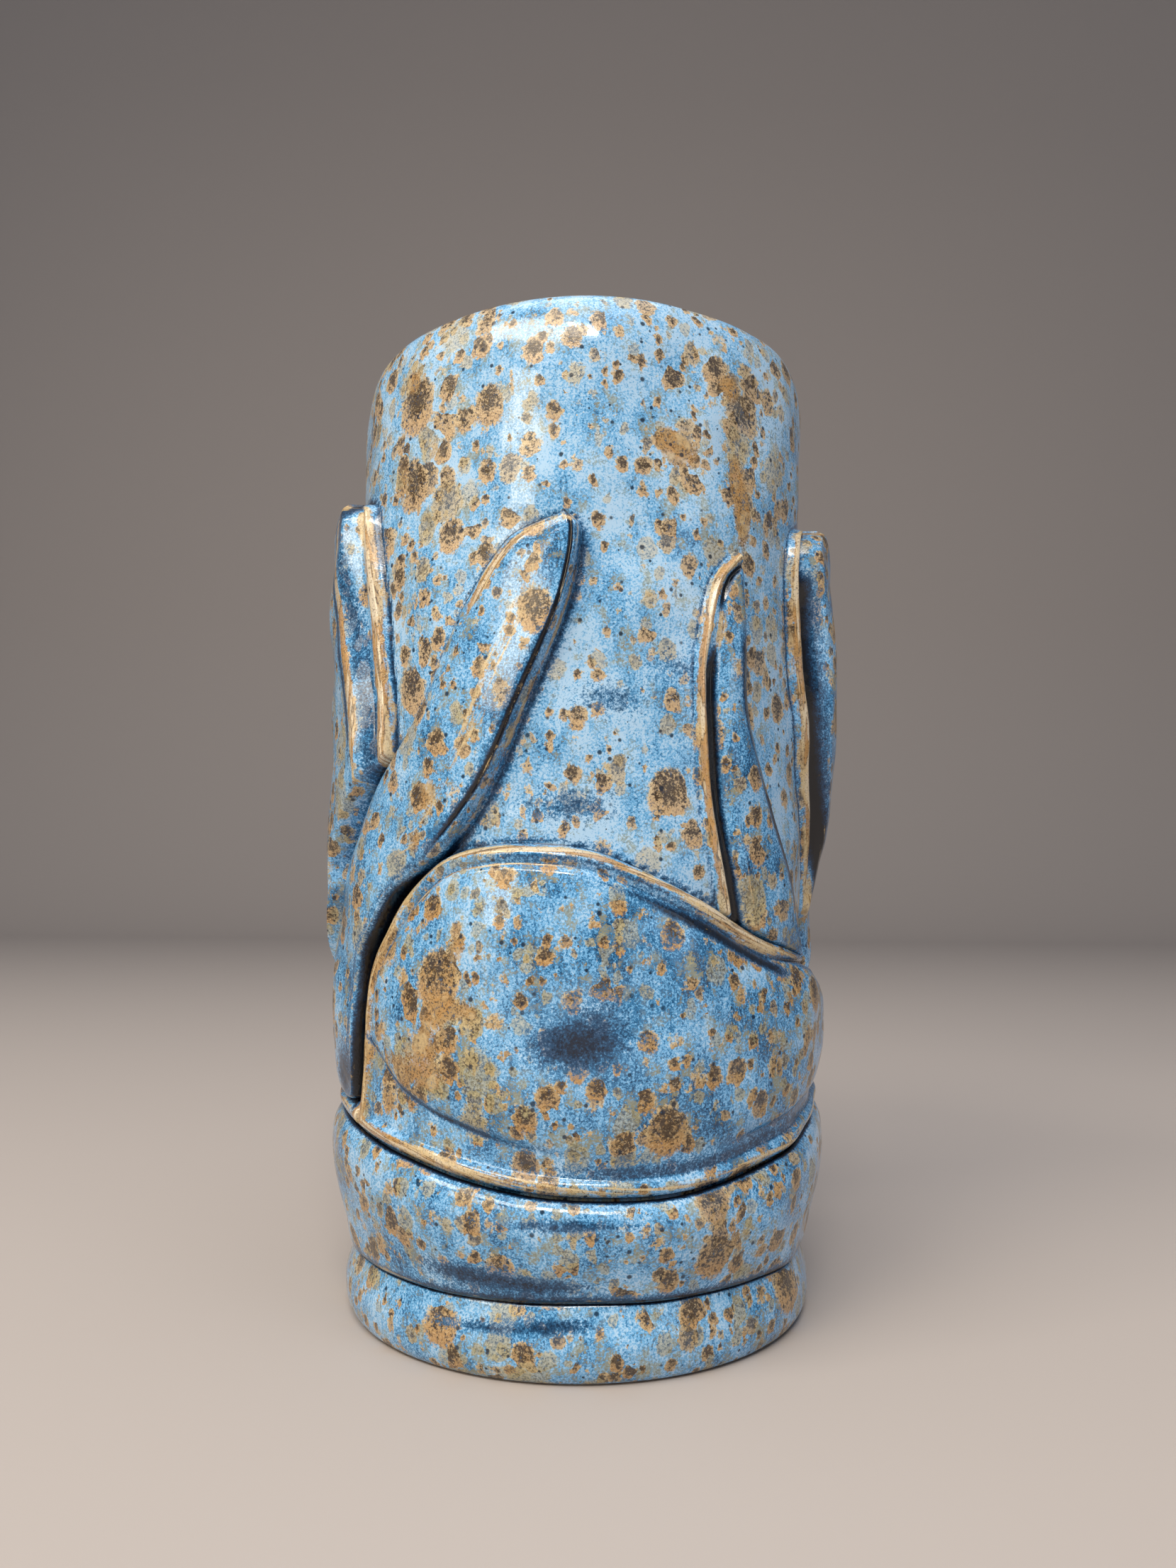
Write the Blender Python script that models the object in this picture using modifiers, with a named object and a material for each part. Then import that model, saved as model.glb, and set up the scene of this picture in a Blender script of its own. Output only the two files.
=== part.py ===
"""Hand-built stoneware vase: a thrown cylinder with tulip leaves and two bud petals luted round it.

Units are metres, +Z is up, and the origin is the centre of the foot's resting face.
A place on the wall is an azimuth in degrees and a height: azimuth 0 faces -Y and grows towards +X.
The far side repeats the near side, turned by half a turn.
"""

import math

import bmesh
import bpy
from mathutils import Vector

MM = 0.001
SEAM = 0.3 * MM  # slip joint left between two pieces of clay
HALF_TURN = 180.0
SIDES = {"front": 0.0, "back": HALF_TURN}

# Thrown body
VASE_HEIGHT = 200 * MM
BODY_RADIUS = 48.4 * MM  # outer radius of the straight wall
BASE_TAPER = 2.6 * MM  # how much narrower the wall is inside the foot
WALL = 6.4 * MM
FLOOR = 7.0 * MM
RIM_SHARE = 0.72  # share of the wall that the rim's outer rounding takes
BASE_ROUND = 2.0 * MM
INSIDE_ROUND = 9.0 * MM
BODY_STEPS = 64  # facets round the body, the foot and the belt
TAPER_STEPS = 6  # facets down the wall behind the belt
BASE_RADIUS = BODY_RADIUS - BASE_TAPER
SEAM_ANGLE = math.degrees(SEAM / BODY_RADIUS)

# Foot ring
FOOT_HEIGHT = 14.4 * MM
FOOT_COLLAR = 1.5 * MM  # clay outside the body at the foot's top edge
FOOT_FLARE = 1.9 * MM  # how far the foot swells past its top edge
FOOT_EDGE_ROUND = 3.6 * MM  # how far the edge rolls in to the resting face
FOOT_FACE_WIDTH = 8.6 * MM
FOOT_PAD = 2.7 * MM  # clay between the body and the table
FOOT_NECK_RADIUS = BASE_RADIUS + FOOT_COLLAR
FOOT_RADIUS = FOOT_NECK_RADIUS + FOOT_FLARE

# Belt, the band above the foot
BELT_SWELL = 5.3 * MM  # how far the belt bulges past the foot's top edge
BELT_EDGE_ROLL = 2.4 * MM  # how far the top edge rolls inwards
BELT_TOP = 37.2 * MM  # mean height of the top edge
BELT_WAVE = 4.8 * MM  # how far the top edge rises and dips
BELT_DIP_AZIMUTH = 8.0  # degrees, where the edge is lowest
BELT_RADIUS = FOOT_NECK_RADIUS + BELT_SWELL
BELT_RISES = (0.0, 0.2, 0.42, 0.65, 0.85, 0.95)  # shares of the belt's height, from its foot up
BELT_BULGES = (0.0, 0.42, 0.72, 0.93, 1.0, 0.87)  # its bulge there, as shares of the swell

# Bud petals
PETAL_LIP = 2.9 * MM  # height of the rolled lip above the wall
PETAL_LIP_WIDTH = 4.0 * MM
PETAL_BELLY = 5.4 * MM  # height of the belly above the wall
PETAL_CROWN = 95.0 * MM  # height of the top of the arch
PETAL_SECTIONS = 36
PETAL_END = -54.8  # azimuth of the steep end
PETAL_TUCK = (42.0, 72.0)  # azimuths between which the lip fades into a soft step
LIP_START = 0.12  # share of its half round that the lip starts with, so that its edge is thick

# Leaves
TABLE_UNIT = 1 * MM  # the length that the tables of slopes, edges and hems count in
LEAF_EDGE = 0.9 * MM  # clay left at a leaf's pressed edge
CROSSING_DROP = 43.8 * MM  # how far each leaf's tip lies below the rim
KEELED_DROP = 32.6 * MM
CURLED_DROP = 48.2 * MM
CUPPED_DROP = 36.4 * MM
CURLED_TUCK = 25 * MM  # how far the curled leaf's base lies below the petal's crown
LEAF_SECTIONS = 17
LEAF_BACK_STEPS = 5  # facets across a leaf's back, which follows the wall
PETAL_BACK_STEPS = 6
CUTTER_REACH = 11 * MM  # how far a cutter stands out of the wall
CUTTER_DEPTH = 1.5 * MM  # how far it stands into the wall

GLAZE = {
    "body_glaze": (0.13, 0.33, 0.56, 1.0),
    "leaf_glaze": (0.10, 0.29, 0.52, 1.0),
    "petal_glaze": (0.15, 0.34, 0.57, 1.0),
    "foot_glaze": (0.19, 0.36, 0.54, 1.0),
}
GLAZE_ROUGHNESS = 0.12
SMOOTH_ANGLE = math.radians(50)  # faces that meet at less than this shade as one surface

# A leaf's rows run from its base to its tip: share of its rise, the azimuths of its left edge, its crown
# and its right edge, and its share of the full thickness. Its slopes run from an edge to the crown: share
# of the way, and relief in table units. Tips are measured down from the rim.
LEAVES = {
    "crossing_leaf": {
        "base": 44.6 * MM,
        "tip": VASE_HEIGHT - CROSSING_DROP,
        "rows": [
            (0.00, -92.0, -61.8, -55.6, 0.70),
            (0.02, -94.5, -59.2, -53.7, 1.00),
            (0.08, -92.8, -56.8, -51.9, 1.18),
            (0.19, -84.0, -53.0, -49.2, 1.22),
            (0.31, -75.8, -45.4, -39.8, 1.10),
            (0.43, -68.2, -33.4, -28.6, 1.02),
            (0.53, -57.2, -22.6, -20.2, 1.00),
            (0.61, -46.4, -17.0, -15.0, 1.00),
            (0.68, -38.9, -13.4, -11.4, 1.00),
            (0.77, -32.2, -8.6, -6.5, 1.00),
            (0.85, -27.2, -4.7, -2.5, 1.00),
            (0.92, -21.6, -2.7, -0.5, 0.95),
            (0.97, -15.4, -2.3, 0.0, 0.82),
            (1.00, -7.4, -3.4, -1.3, 0.60),
        ],
        "left_slope": [(0.0, 0.9), (0.07, 1.9), (0.25, 3.4), (0.6, 4.3), (1.0, 4.8)],
        "right_slope": [(0.0, 0.9), (0.25, 2.8), (0.6, 4.2), (1.0, 4.8)],
    },
    "keeled_leaf": {
        "base": 60 * MM,
        "tip": VASE_HEIGHT - KEELED_DROP,
        "rows": [
            (0.00, -83.5, -66.0, -60.0, 0.85),
            (0.08, -86.0, -64.0, -58.0, 0.92),
            (0.20, -87.5, -60.0, -53.0, 0.98),
            (0.37, -89.5, -57.0, -48.8, 1.00),
            (0.50, -93.5, -57.5, -49.2, 1.00),
            (0.62, -94.5, -62.0, -51.4, 0.95),
            (0.72, -94.0, -68.0, -54.0, 0.90),
            (0.82, -92.0, -73.5, -56.5, 0.90),
            (0.90, -87.5, -76.0, -58.7, 0.92),
            (0.95, -83.0, -74.5, -60.4, 0.90),
            (0.985, -77.0, -70.5, -62.0, 0.75),
            (1.00, -72.5, -68.0, -63.8, 0.55),
        ],
        "left_slope": [(0.0, 0.9), (0.08, 3.4), (0.3, 6.0), (0.65, 6.4), (1.0, 6.4)],
        "right_slope": [(0.0, 0.9), (0.09, 2.2), (0.2, 2.6), (0.4, 1.9), (0.7, 3.7), (1.0, 6.4)],
    },
    "curled_leaf": {
        "base": PETAL_CROWN - CURLED_TUCK,
        "tip": VASE_HEIGHT - CURLED_DROP,
        "rows": [
            (0.00, 38.0, 57.0, 67.0, 1.00),
            (0.16, 34.0, 52.0, 61.4, 1.00),
            (0.28, 30.6, 47.6, 56.2, 1.00),
            (0.40, 28.7, 43.2, 50.2, 1.00),
            (0.52, 27.5, 39.0, 44.8, 1.00),
            (0.64, 26.7, 36.0, 41.2, 1.00),
            (0.75, 26.9, 34.9, 40.1, 1.00),
            (0.86, 28.8, 34.8, 39.7, 0.95),
            (0.93, 31.2, 35.6, 39.4, 0.90),
            (0.98, 35.2, 37.6, 39.4, 0.75),
            (1.00, 37.0, 38.1, 39.1, 0.50),
        ],
        "left_slope": [(0.0, 0.9), (0.08, 2.6), (0.17, 2.9), (0.24, 1.4), (0.28, 0.7), (0.38, 0.7),
                       (0.47, 2.6), (1.0, 3.4)],
        "right_slope": [(0.0, 0.9), (0.2, 1.9), (0.6, 3.0), (1.0, 3.4)],
    },
    "cupped_leaf": {
        "base": 80 * MM,
        "tip": VASE_HEIGHT - CUPPED_DROP,
        "rows": [
            (0.00, 85.0, 88.5, 92.0, 0.16),
            (0.08, 82.5, 88.3, 93.5, 0.26),
            (0.15, 79.8, 87.5, 94.5, 0.46),
            (0.22, 77.2, 86.6, 95.5, 0.66),
            (0.33, 73.4, 84.6, 96.5, 0.88),
            (0.49, 68.0, 80.0, 94.0, 0.98),
            (0.68, 65.0, 78.0, 91.5, 0.94),
            (0.85, 63.4, 76.2, 89.0, 0.84),
            (0.94, 65.0, 75.6, 86.0, 0.76),
            (0.985, 68.8, 75.5, 82.5, 0.64),
            (1.00, 71.4, 75.5, 79.6, 0.48),
        ],
        "left_slope": [(0.0, 0.9), (0.07, 2.2), (0.16, 2.6), (0.24, 1.0), (0.38, 1.0), (0.5, 5.0),
                       (0.7, 7.7), (1.0, 8.4)],
        "right_slope": [(0.0, 0.9), (0.1, 3.4), (0.4, 6.8), (0.7, 8.0), (1.0, 8.4)],
    },
}

# Top edge of a bud petal from its steep left end, half a turn round to where the other petal starts:
# azimuth and share of the height between the belt and the crown.
PETAL_ARCH = [
    (PETAL_END, 0.347),
    (-54.7, 0.418),
    (-54.3, 0.484),
    (-53.2, 0.55),
    (-51.3, 0.616),
    (-48.2, 0.693),
    (-42.0, 0.828),
    (-33.6, 0.928),
    (-26.6, 0.976),
    (-18.0, 0.998),
    (-9.0, 1.0),
    (2.0, 0.985),
    (12.4, 0.935),
    (28.0, 0.835),
    (46.0, 0.70),
    (67.0, 0.59),
    (90.0, 0.457),
    (110.0, 0.365),
    (HALF_TURN + PETAL_END - SEAM_ANGLE, 0.297),
]

# The tables below count lengths in TABLE_UNIT, as the leaves' slopes count relief.
# A bud petal's panel under its lip: distance in from the edge, and share of the belly's height.
PETAL_FROM_BOTTOM = [
    (0.0, 0.16), (2.6, 0.35), (7.0, 0.35), (9.0, 0.62), (14.0, 0.84), (24.0, 0.98), (34.0, 1.0)
]
PETAL_FROM_SIDE = [(0.0, 0.16), (2.6, 0.35), (4.6, 0.63), (10.0, 0.85), (16.0, 0.95), (24.0, 1.0)]
PETAL_ROWS_LOW = [0.0, 0.6, 1.4, 2.8]  # in from the bottom edge
PETAL_ROWS_HEM = [7.0, 9.0]  # the hem's crease, in from the bottom edge where it isn't lifted
PETAL_ROWS_HIGH = [5.0, 2.8, 1.4, 0.6, 0.0]  # in from the top edge
# How much further up the hem's crease lies where it curves up towards the steep end, by azimuth.
HEM_LIFTS = [(-54.0, 12.0), (-47.0, 9.0), (-40.0, 4.8), (-30.0, 3.0), (-15.0, 1.4), (6.0, 0.0)]
PETAL_ROWS_MIDDLE = 4


def start_collection(name):
    """Return a new collection linked to the scene."""
    collection = bpy.data.collections.new(name)
    bpy.context.scene.collection.children.link(collection)
    return collection


def ease(value, low, high):
    """Return 0 below low and 1 above high, with a smooth step between them."""
    share = min(max((value - low) / (high - low), 0.0), 1.0)
    return share * share * (3 - 2 * share)


def spline(rows, place):
    """Return the row at place, from 0 at the first to 1 at the last, on a Catmull-Rom curve."""
    spot = place * (len(rows) - 1)
    first = min(int(spot), len(rows) - 2)
    share = spot - first
    before, here, there, after = (
        Vector(rows[min(max(first + step, 0), len(rows) - 1)]) for step in (-1, 0, 1, 2)
    )
    slope_in = (there - before) * 0.5
    slope_out = (after - here) * 0.5
    square, cube = share**2, share**3
    return (
        here * (2 * cube - 3 * square + 1)
        + slope_in * (cube - 2 * square + share)
        + there * (3 * square - 2 * cube)
        + slope_out * (cube - square)
    )


def body_radius(height):
    """Return the outer radius of the thrown wall, which narrows inside the belt."""
    swell = ease(height, FOOT_HEIGHT, BELT_TOP)
    return BASE_RADIUS + (BODY_RADIUS - BASE_RADIUS) * swell


def belt_top(azimuth):
    """Return the height of the belt's top edge, which dips at the front and at the back."""
    return BELT_TOP - BELT_WAVE * math.cos(math.radians(2 * (azimuth - BELT_DIP_AZIMUTH)))


def on_wall(azimuth, height, relief):
    """Return the point that stands out of the thrown wall by relief."""
    radius = body_radius(height) + SEAM + relief
    angle = math.radians(azimuth)
    return Vector((radius * math.sin(angle), -radius * math.cos(angle), height))


def add_glaze(name):
    """Return the material of that name, made on its first use."""
    if name in bpy.data.materials:
        return bpy.data.materials[name]
    material = bpy.data.materials.new(name)
    material.use_nodes = True
    shader = material.node_tree.nodes["Principled BSDF"]
    shader.inputs["Base Color"].default_value = GLAZE[name]
    shader.inputs["Roughness"].default_value = GLAZE_ROUGHNESS
    shader.inputs["Metallic"].default_value = 0.0
    return material


def add_object(name, mesh, collection, glaze=None):
    """Link a mesh as a named object, smooth on its curved faces."""
    obj = bpy.data.objects.new(name, mesh)
    collection.objects.link(obj)
    mesh.shade_smooth()
    mesh.set_sharp_from_angle(angle=SMOOTH_ANGLE)
    if glaze:
        mesh.materials.append(add_glaze(glaze))
    return obj


def turned(name, profile, collection, glaze, closed=False):
    """Turn a profile of radius and height about the axis with a Screw modifier."""
    mesh = bpy.data.meshes.new(name)
    edges = [(i, i + 1) for i in range(len(profile) - 1)]
    edges += [(len(profile) - 1, 0)] if closed else []
    mesh.from_pydata([(radius, 0, height) for radius, height in profile], edges, [])
    obj = add_object(name, mesh, collection, glaze)
    screw = obj.modifiers.new("Turn", "SCREW")
    screw.axis = "Z"
    screw.steps = screw.render_steps = BODY_STEPS
    screw.use_merge_vertices = True
    screw.merge_threshold = 0.00001
    screw.use_smooth_shade = True
    return obj


def lofted(name, rings, collection, glaze=None, closed=False):
    """Join rings of points, one section after another, into one closed solid."""
    shape = bmesh.new()
    loops = [[shape.verts.new(point) for point in ring] for ring in rings]
    following = loops[1:] + loops[:1] if closed else loops[1:]
    for loop, other in zip(loops, following):
        for i in range(len(loop)):
            k = (i + 1) % len(loop)
            shape.faces.new((loop[i], loop[k], other[k], other[i]))
    bmesh.ops.triangulate(shape, faces=shape.faces, quad_method="SHORT_EDGE")
    if not closed:
        shape.faces.new(loops[0])
        shape.faces.new(loops[-1])
    bmesh.ops.recalc_face_normals(shape, faces=shape.faces)
    mesh = bpy.data.meshes.new(name)
    shape.to_mesh(mesh)
    shape.free()
    return add_object(name, mesh, collection, glaze)


def arc(centre, radius, first, last, count):
    """Return points of radius and height round an arc, its angles in degrees."""
    angles = [math.radians(first + (last - first) * i / count) for i in range(count + 1)]
    return [(centre[0] + radius * math.cos(a), centre[1] + radius * math.sin(a)) for a in angles]


def make_body(collection):
    """Make the thrown body: floor, wall and rounded rim in one profile, from the floor's middle."""
    inner = BODY_RADIUS - WALL
    base = FOOT_PAD + SEAM
    floor_top = base + FLOOR
    outer_round = WALL * RIM_SHARE
    inner_round = WALL - outer_round
    rim_middle = inner + inner_round
    taper = BELT_TOP - FOOT_HEIGHT
    profile = [(0, floor_top)]
    profile += arc((inner - INSIDE_ROUND, floor_top + INSIDE_ROUND), INSIDE_ROUND, -90, 0, 5)
    profile += arc((rim_middle, VASE_HEIGHT - inner_round), inner_round, 180, 90, 3)
    profile += arc((rim_middle, VASE_HEIGHT - outer_round), outer_round, 90, 0, 6)[1:]
    for step in range(TAPER_STEPS, -1, -1):
        height = FOOT_HEIGHT + taper * step / TAPER_STEPS
        profile.append((body_radius(height), height))
    profile += arc((BASE_RADIUS - BASE_ROUND, base + BASE_ROUND), BASE_ROUND, 0, -90, 3)
    profile += [(0, base)]
    return turned("thrown_body", profile, collection, "body_glaze")


def make_foot(collection):
    """Make the foot ring, which wraps the body's base and carries it on a pad."""
    bore = BASE_RADIUS + SEAM
    top = FOOT_HEIGHT - SEAM
    widest = FOOT_HEIGHT * 0.48
    face_outer = FOOT_RADIUS - FOOT_EDGE_ROUND
    face_inner = face_outer - FOOT_FACE_WIDTH
    outside = [(bore, top), (FOOT_NECK_RADIUS, top)]
    outside += [(FOOT_RADIUS - FOOT_FLARE * 0.47, FOOT_HEIGHT * 0.74)]
    for step in range(4):
        angle = math.radians(90 * step / 3)
        outside.append(
            (face_outer + FOOT_EDGE_ROUND * math.cos(angle), widest * (1 - math.sin(angle)))
        )
    underside = [
        (face_inner, 0),
        (face_inner - FOOT_PAD * 0.3, FOOT_PAD * 0.35),
        (face_inner - FOOT_PAD * 0.3, FOOT_PAD),
    ]
    corner = (BASE_RADIUS - BASE_ROUND, FOOT_PAD + SEAM + BASE_ROUND)
    seat = arc(corner, BASE_ROUND + SEAM, -90, 0, 3)
    return turned("foot_ring", outside + underside + seat, collection, "foot_glaze", closed=True)


def make_belt(collection):
    """Make the belt: a rounded band whose top edge waves, one section for each step round the vase."""
    sections = []
    for step in range(BODY_STEPS):
        azimuth = 360 * step / BODY_STEPS
        high = belt_top(azimuth) - SEAM
        rise = high - FOOT_HEIGHT
        outside = [
            (FOOT_NECK_RADIUS + BELT_SWELL * bulge, FOOT_HEIGHT + rise * share)
            for share, bulge in zip(BELT_RISES, BELT_BULGES)
        ]
        outside.append((BELT_RADIUS - BELT_EDGE_ROLL, high))
        heights = [high - rise * i / TAPER_STEPS for i in range(TAPER_STEPS + 1)]
        inside = [(body_radius(height) + SEAM, height) for height in heights]
        angle = math.radians(azimuth)
        sections.append(
            [Vector((r * math.sin(angle), -r * math.cos(angle), z)) for r, z in outside + inside]
        )
    return lofted("belt_band", sections, collection, "foot_glaze", closed=True)


def make_belt_cutter(collection):
    """Make the space of the belt with its seam, which trims what comes down to it."""
    sections = []
    for step in range(BODY_STEPS):
        azimuth = 360 * step / BODY_STEPS
        top = belt_top(azimuth) + SEAM
        outer = [on_wall(azimuth, height, CUTTER_REACH) for height in (FOOT_HEIGHT, top)]
        inner = [on_wall(azimuth, height, -CUTTER_DEPTH) for height in (top, FOOT_HEIGHT)]
        sections.append(outer + inner)
    return lofted("belt_space", sections, collection, closed=True)


def leaf_front(leaf, left, crown, right, thickness):
    """Return a leaf section's azimuths and reliefs from its left edge, over its crown, to its right."""
    rising = [(left + (crown - left) * share, relief) for share, relief in leaf["left_slope"]]
    falling = [(right + (crown - right) * share, relief) for share, relief in leaf["right_slope"]]
    section = rising + falling[-2::-1]
    return [
        (azimuth, LEAF_EDGE + (relief * TABLE_UNIT - LEAF_EDGE) * thickness)
        for azimuth, relief in section
    ]


def make_leaf(name, leaf, turn, collection, glaze):
    """Loft a leaf from its base to its tip: a pressed back on the wall and a crowned front."""
    rings = []
    for step in range(LEAF_SECTIONS + 1):
        share, left, crown, right, thickness = spline(leaf["rows"], step / LEAF_SECTIONS)
        height = leaf["base"] + (leaf["tip"] - leaf["base"]) * share
        front = leaf_front(leaf, left + turn, crown + turn, right + turn, thickness)
        width = right - left
        back = [(right - width * i / LEAF_BACK_STEPS + turn, 0.0) for i in range(LEAF_BACK_STEPS + 1)]
        rings.append([on_wall(azimuth, height, relief) for azimuth, relief in front + back])
    return lofted(name, rings, collection, glaze)


def seam_step(edge, neighbour, rise):
    """Return the azimuth step that keeps the seam square to an edge which leans between two heights."""
    slope = math.radians(neighbour - edge) * BODY_RADIUS / rise
    return math.degrees(SEAM * math.hypot(1, slope) / BODY_RADIUS)


def make_leaf_cutter(name, leaf, turn, collection):
    """Make the space of a leaf with its seam, standing through the wall and well out of it."""
    rings = []
    length = leaf["tip"] - leaf["base"]
    for step in range(LEAF_SECTIONS + 1):
        share, left, _, right, _ = spline(leaf["rows"], step / LEAF_SECTIONS)
        near = step + 1 if step == 0 else step - 1
        other, left_near, _, right_near, _ = spline(leaf["rows"], near / LEAF_SECTIONS)
        left -= seam_step(left, left_near, (other - share) * length)
        right += seam_step(right, right_near, (other - share) * length)
        height = leaf["base"] + length * share
        height += SEAM if step == LEAF_SECTIONS else 0
        height -= SEAM if step == 0 else 0
        width = right - left
        azimuths = [left + width * i / LEAF_BACK_STEPS + turn for i in range(LEAF_BACK_STEPS + 1)]
        outer = [on_wall(azimuth, height, CUTTER_REACH) for azimuth in azimuths]
        inner = [on_wall(azimuth, height, -CUTTER_DEPTH) for azimuth in reversed(azimuths)]
        rings.append(outer + inner)
    return lofted(name, rings, collection)


def petal_edges(place, turn):
    """Return azimuth, bottom height and top height of a bud petal's section."""
    azimuth, share = spline(PETAL_ARCH, place)
    bottom = belt_top(azimuth + turn)
    return azimuth, bottom, bottom + (PETAL_CROWN - bottom) * share


def along(points, place):
    """Return the value at a place on a line through points."""
    for (start, low), (end, high) in zip(points, points[1:]):
        if place < end:
            return low + (high - low) * max(place - start, 0) / (end - start)
    return points[-1][1]


def hem_lift(azimuth, rise):
    """Return how much further up the hem's crease lies, kept clear of the top edge's lip."""
    room = rise - (PETAL_ROWS_HEM[-1] + PETAL_ROWS_HIGH[0]) * TABLE_UNIT - PETAL_LIP_WIDTH
    return min(along(HEM_LIFTS, azimuth) * TABLE_UNIT, max(room, 0.0))


def petal_relief(from_bottom, from_top, from_end, azimuth):
    """Return how far a bud petal stands out: a rolled lip round it, a hem at its foot and the belly.

    Where the petal tucks under the next leaf, its top edge is a soft step and not a lip.
    """
    tuck = ease(azimuth, *PETAL_TUCK)
    from_side = min(from_top, from_end)
    inset = min(from_bottom, from_side + PETAL_LIP_WIDTH * tuck)
    lip = 0.0
    if inset < PETAL_LIP_WIDTH:
        around = LIP_START + (1 - LIP_START) * inset / PETAL_LIP_WIDTH
        lip = PETAL_LIP * math.sin(math.pi * around)
    lift = hem_lift(azimuth, from_bottom + from_top)
    flat = min(max(from_bottom - PETAL_ROWS_LOW[-1] * TABLE_UNIT, 0.0), lift)
    low = along(PETAL_FROM_BOTTOM, (from_bottom - flat) / TABLE_UNIT)
    side = along(PETAL_FROM_SIDE, from_side * (1 + 2 * tuck) / TABLE_UNIT)
    return max(lip, PETAL_BELLY * min(low, side), LEAF_EDGE)


def petal_rises(azimuth, rise):
    """Return the distances up a petal's section, close together at the hem and the lip."""
    low = [value * TABLE_UNIT for value in PETAL_ROWS_LOW]
    low += [value * TABLE_UNIT + hem_lift(azimuth, rise) for value in PETAL_ROWS_HEM]
    high = [rise - value * TABLE_UNIT for value in PETAL_ROWS_HIGH]
    gap = (high[0] - low[-1]) / (PETAL_ROWS_MIDDLE + 1)
    return low + [low[-1] + gap * (i + 1) for i in range(PETAL_ROWS_MIDDLE)] + high


def make_petal(name, turn, collection):
    """Loft a bud petal from its steep end to its tucked end, between the belt and its arch."""
    rings = []
    first = PETAL_ARCH[0][0]
    for step in range(PETAL_SECTIONS + 1):
        azimuth, bottom, top = petal_edges(step / PETAL_SECTIONS, turn)
        rise = top - bottom
        from_end = math.radians(azimuth - first) * BODY_RADIUS
        front = [
            (bottom + value, petal_relief(value, rise - value, from_end, azimuth))
            for value in petal_rises(azimuth, rise)
        ]
        back = [(top - rise * i / PETAL_BACK_STEPS, 0.0) for i in range(PETAL_BACK_STEPS + 1)]
        rings.append([on_wall(azimuth + turn, height, relief) for height, relief in front + back])
    return lofted(name, rings, collection, "petal_glaze")


def make_petal_cutter(name, turn, collection):
    """Make the space of a bud petal with its seam, which trims the leaves that come down to it."""
    rings = []
    for step in range(PETAL_SECTIONS + 1):
        azimuth, bottom, top = petal_edges(step / PETAL_SECTIONS, turn)
        azimuth -= SEAM_ANGLE if step == 0 else 0
        heights = [bottom - WALL, (bottom + top) / 2, top + SEAM]
        outer = [on_wall(azimuth + turn, height, CUTTER_REACH) for height in heights]
        inner = [on_wall(azimuth + turn, height, -CUTTER_DEPTH) for height in reversed(heights)]
        rings.append(outer + inner)
    return lofted(name, rings, collection)


def trim(obj, cutters, helpers):
    """Cut a piece back, in one cut, where the pieces laid over it pass."""
    group = bpy.data.collections.new(obj.name + "_trims")
    helpers.children.link(group)
    for cutter in cutters:
        group.objects.link(cutter)
    cut = obj.modifiers.new("Trim", "BOOLEAN")
    cut.operation = "DIFFERENCE"
    cut.solver = "EXACT"
    cut.operand_type = "COLLECTION"
    cut.collection = group


def main():
    """Make every piece, trim each where its neighbour lies over it, and hide the cutters."""
    for obj in list(bpy.data.objects):
        bpy.data.objects.remove(obj, do_unlink=True)
    vase = start_collection("tulip_vase")
    helpers = start_collection("cutters")

    make_body(vase)
    make_foot(vase)
    make_belt(vase)
    belt_space = make_belt_cutter(helpers)

    pieces = {}
    spaces = {}
    for side, turn in SIDES.items():
        pieces[side, "petal"] = make_petal(f"{side}_bud_petal", turn, vase)
        spaces[side, "petal"] = make_petal_cutter(f"{side}_petal_space", turn, helpers)
        for kind, leaf in LEAVES.items():
            pieces[side, kind] = make_leaf(f"{side}_{kind}", leaf, turn, vase, "leaf_glaze")
        for kind in ("crossing_leaf", "cupped_leaf"):
            spaces[side, kind] = make_leaf_cutter(f"{side}_{kind}_space", LEAVES[kind], turn, helpers)

    for side, other in (("front", "back"), ("back", "front")):
        own_petal, own_crossing = spaces[side, "petal"], spaces[side, "crossing_leaf"]
        next_petal, next_crossing = spaces[other, "petal"], spaces[other, "crossing_leaf"]
        trim(pieces[side, "crossing_leaf"], [own_petal, belt_space], helpers)
        trim(pieces[side, "curled_leaf"], [own_petal], helpers)
        trim(pieces[side, "cupped_leaf"], [own_petal, next_crossing], helpers)
        trim(pieces[side, "petal"], [next_crossing], helpers)
        next_cupped = spaces[other, "cupped_leaf"]
        trim(pieces[side, "keeled_leaf"], [own_crossing, next_cupped, next_petal], helpers)

    for cutter in helpers.objects:
        cutter.hide_render = True
        cutter.display_type = "WIRE"


main()
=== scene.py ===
"""Glazed surfaces of a hand-built tulip vase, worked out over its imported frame.

A place on the vase is an azimuth in degrees and a height in millimetres: azimuth 0 faces the camera and
grows towards the vase's right, and height 0 is the resting face. Relief is how far a surface stands out
of the thrown wall, in millimetres. The far side repeats the near side, turned by half a turn. Metres are
used for the camera, the lamps and the stage, and every mesh is turned into metres when it is made.
"""

import logging
import math
from dataclasses import dataclass, field
from enum import Enum
from functools import cached_property

import bpy
import numpy as np
from mathutils import Matrix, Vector
from numpy.typing import NDArray


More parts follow.
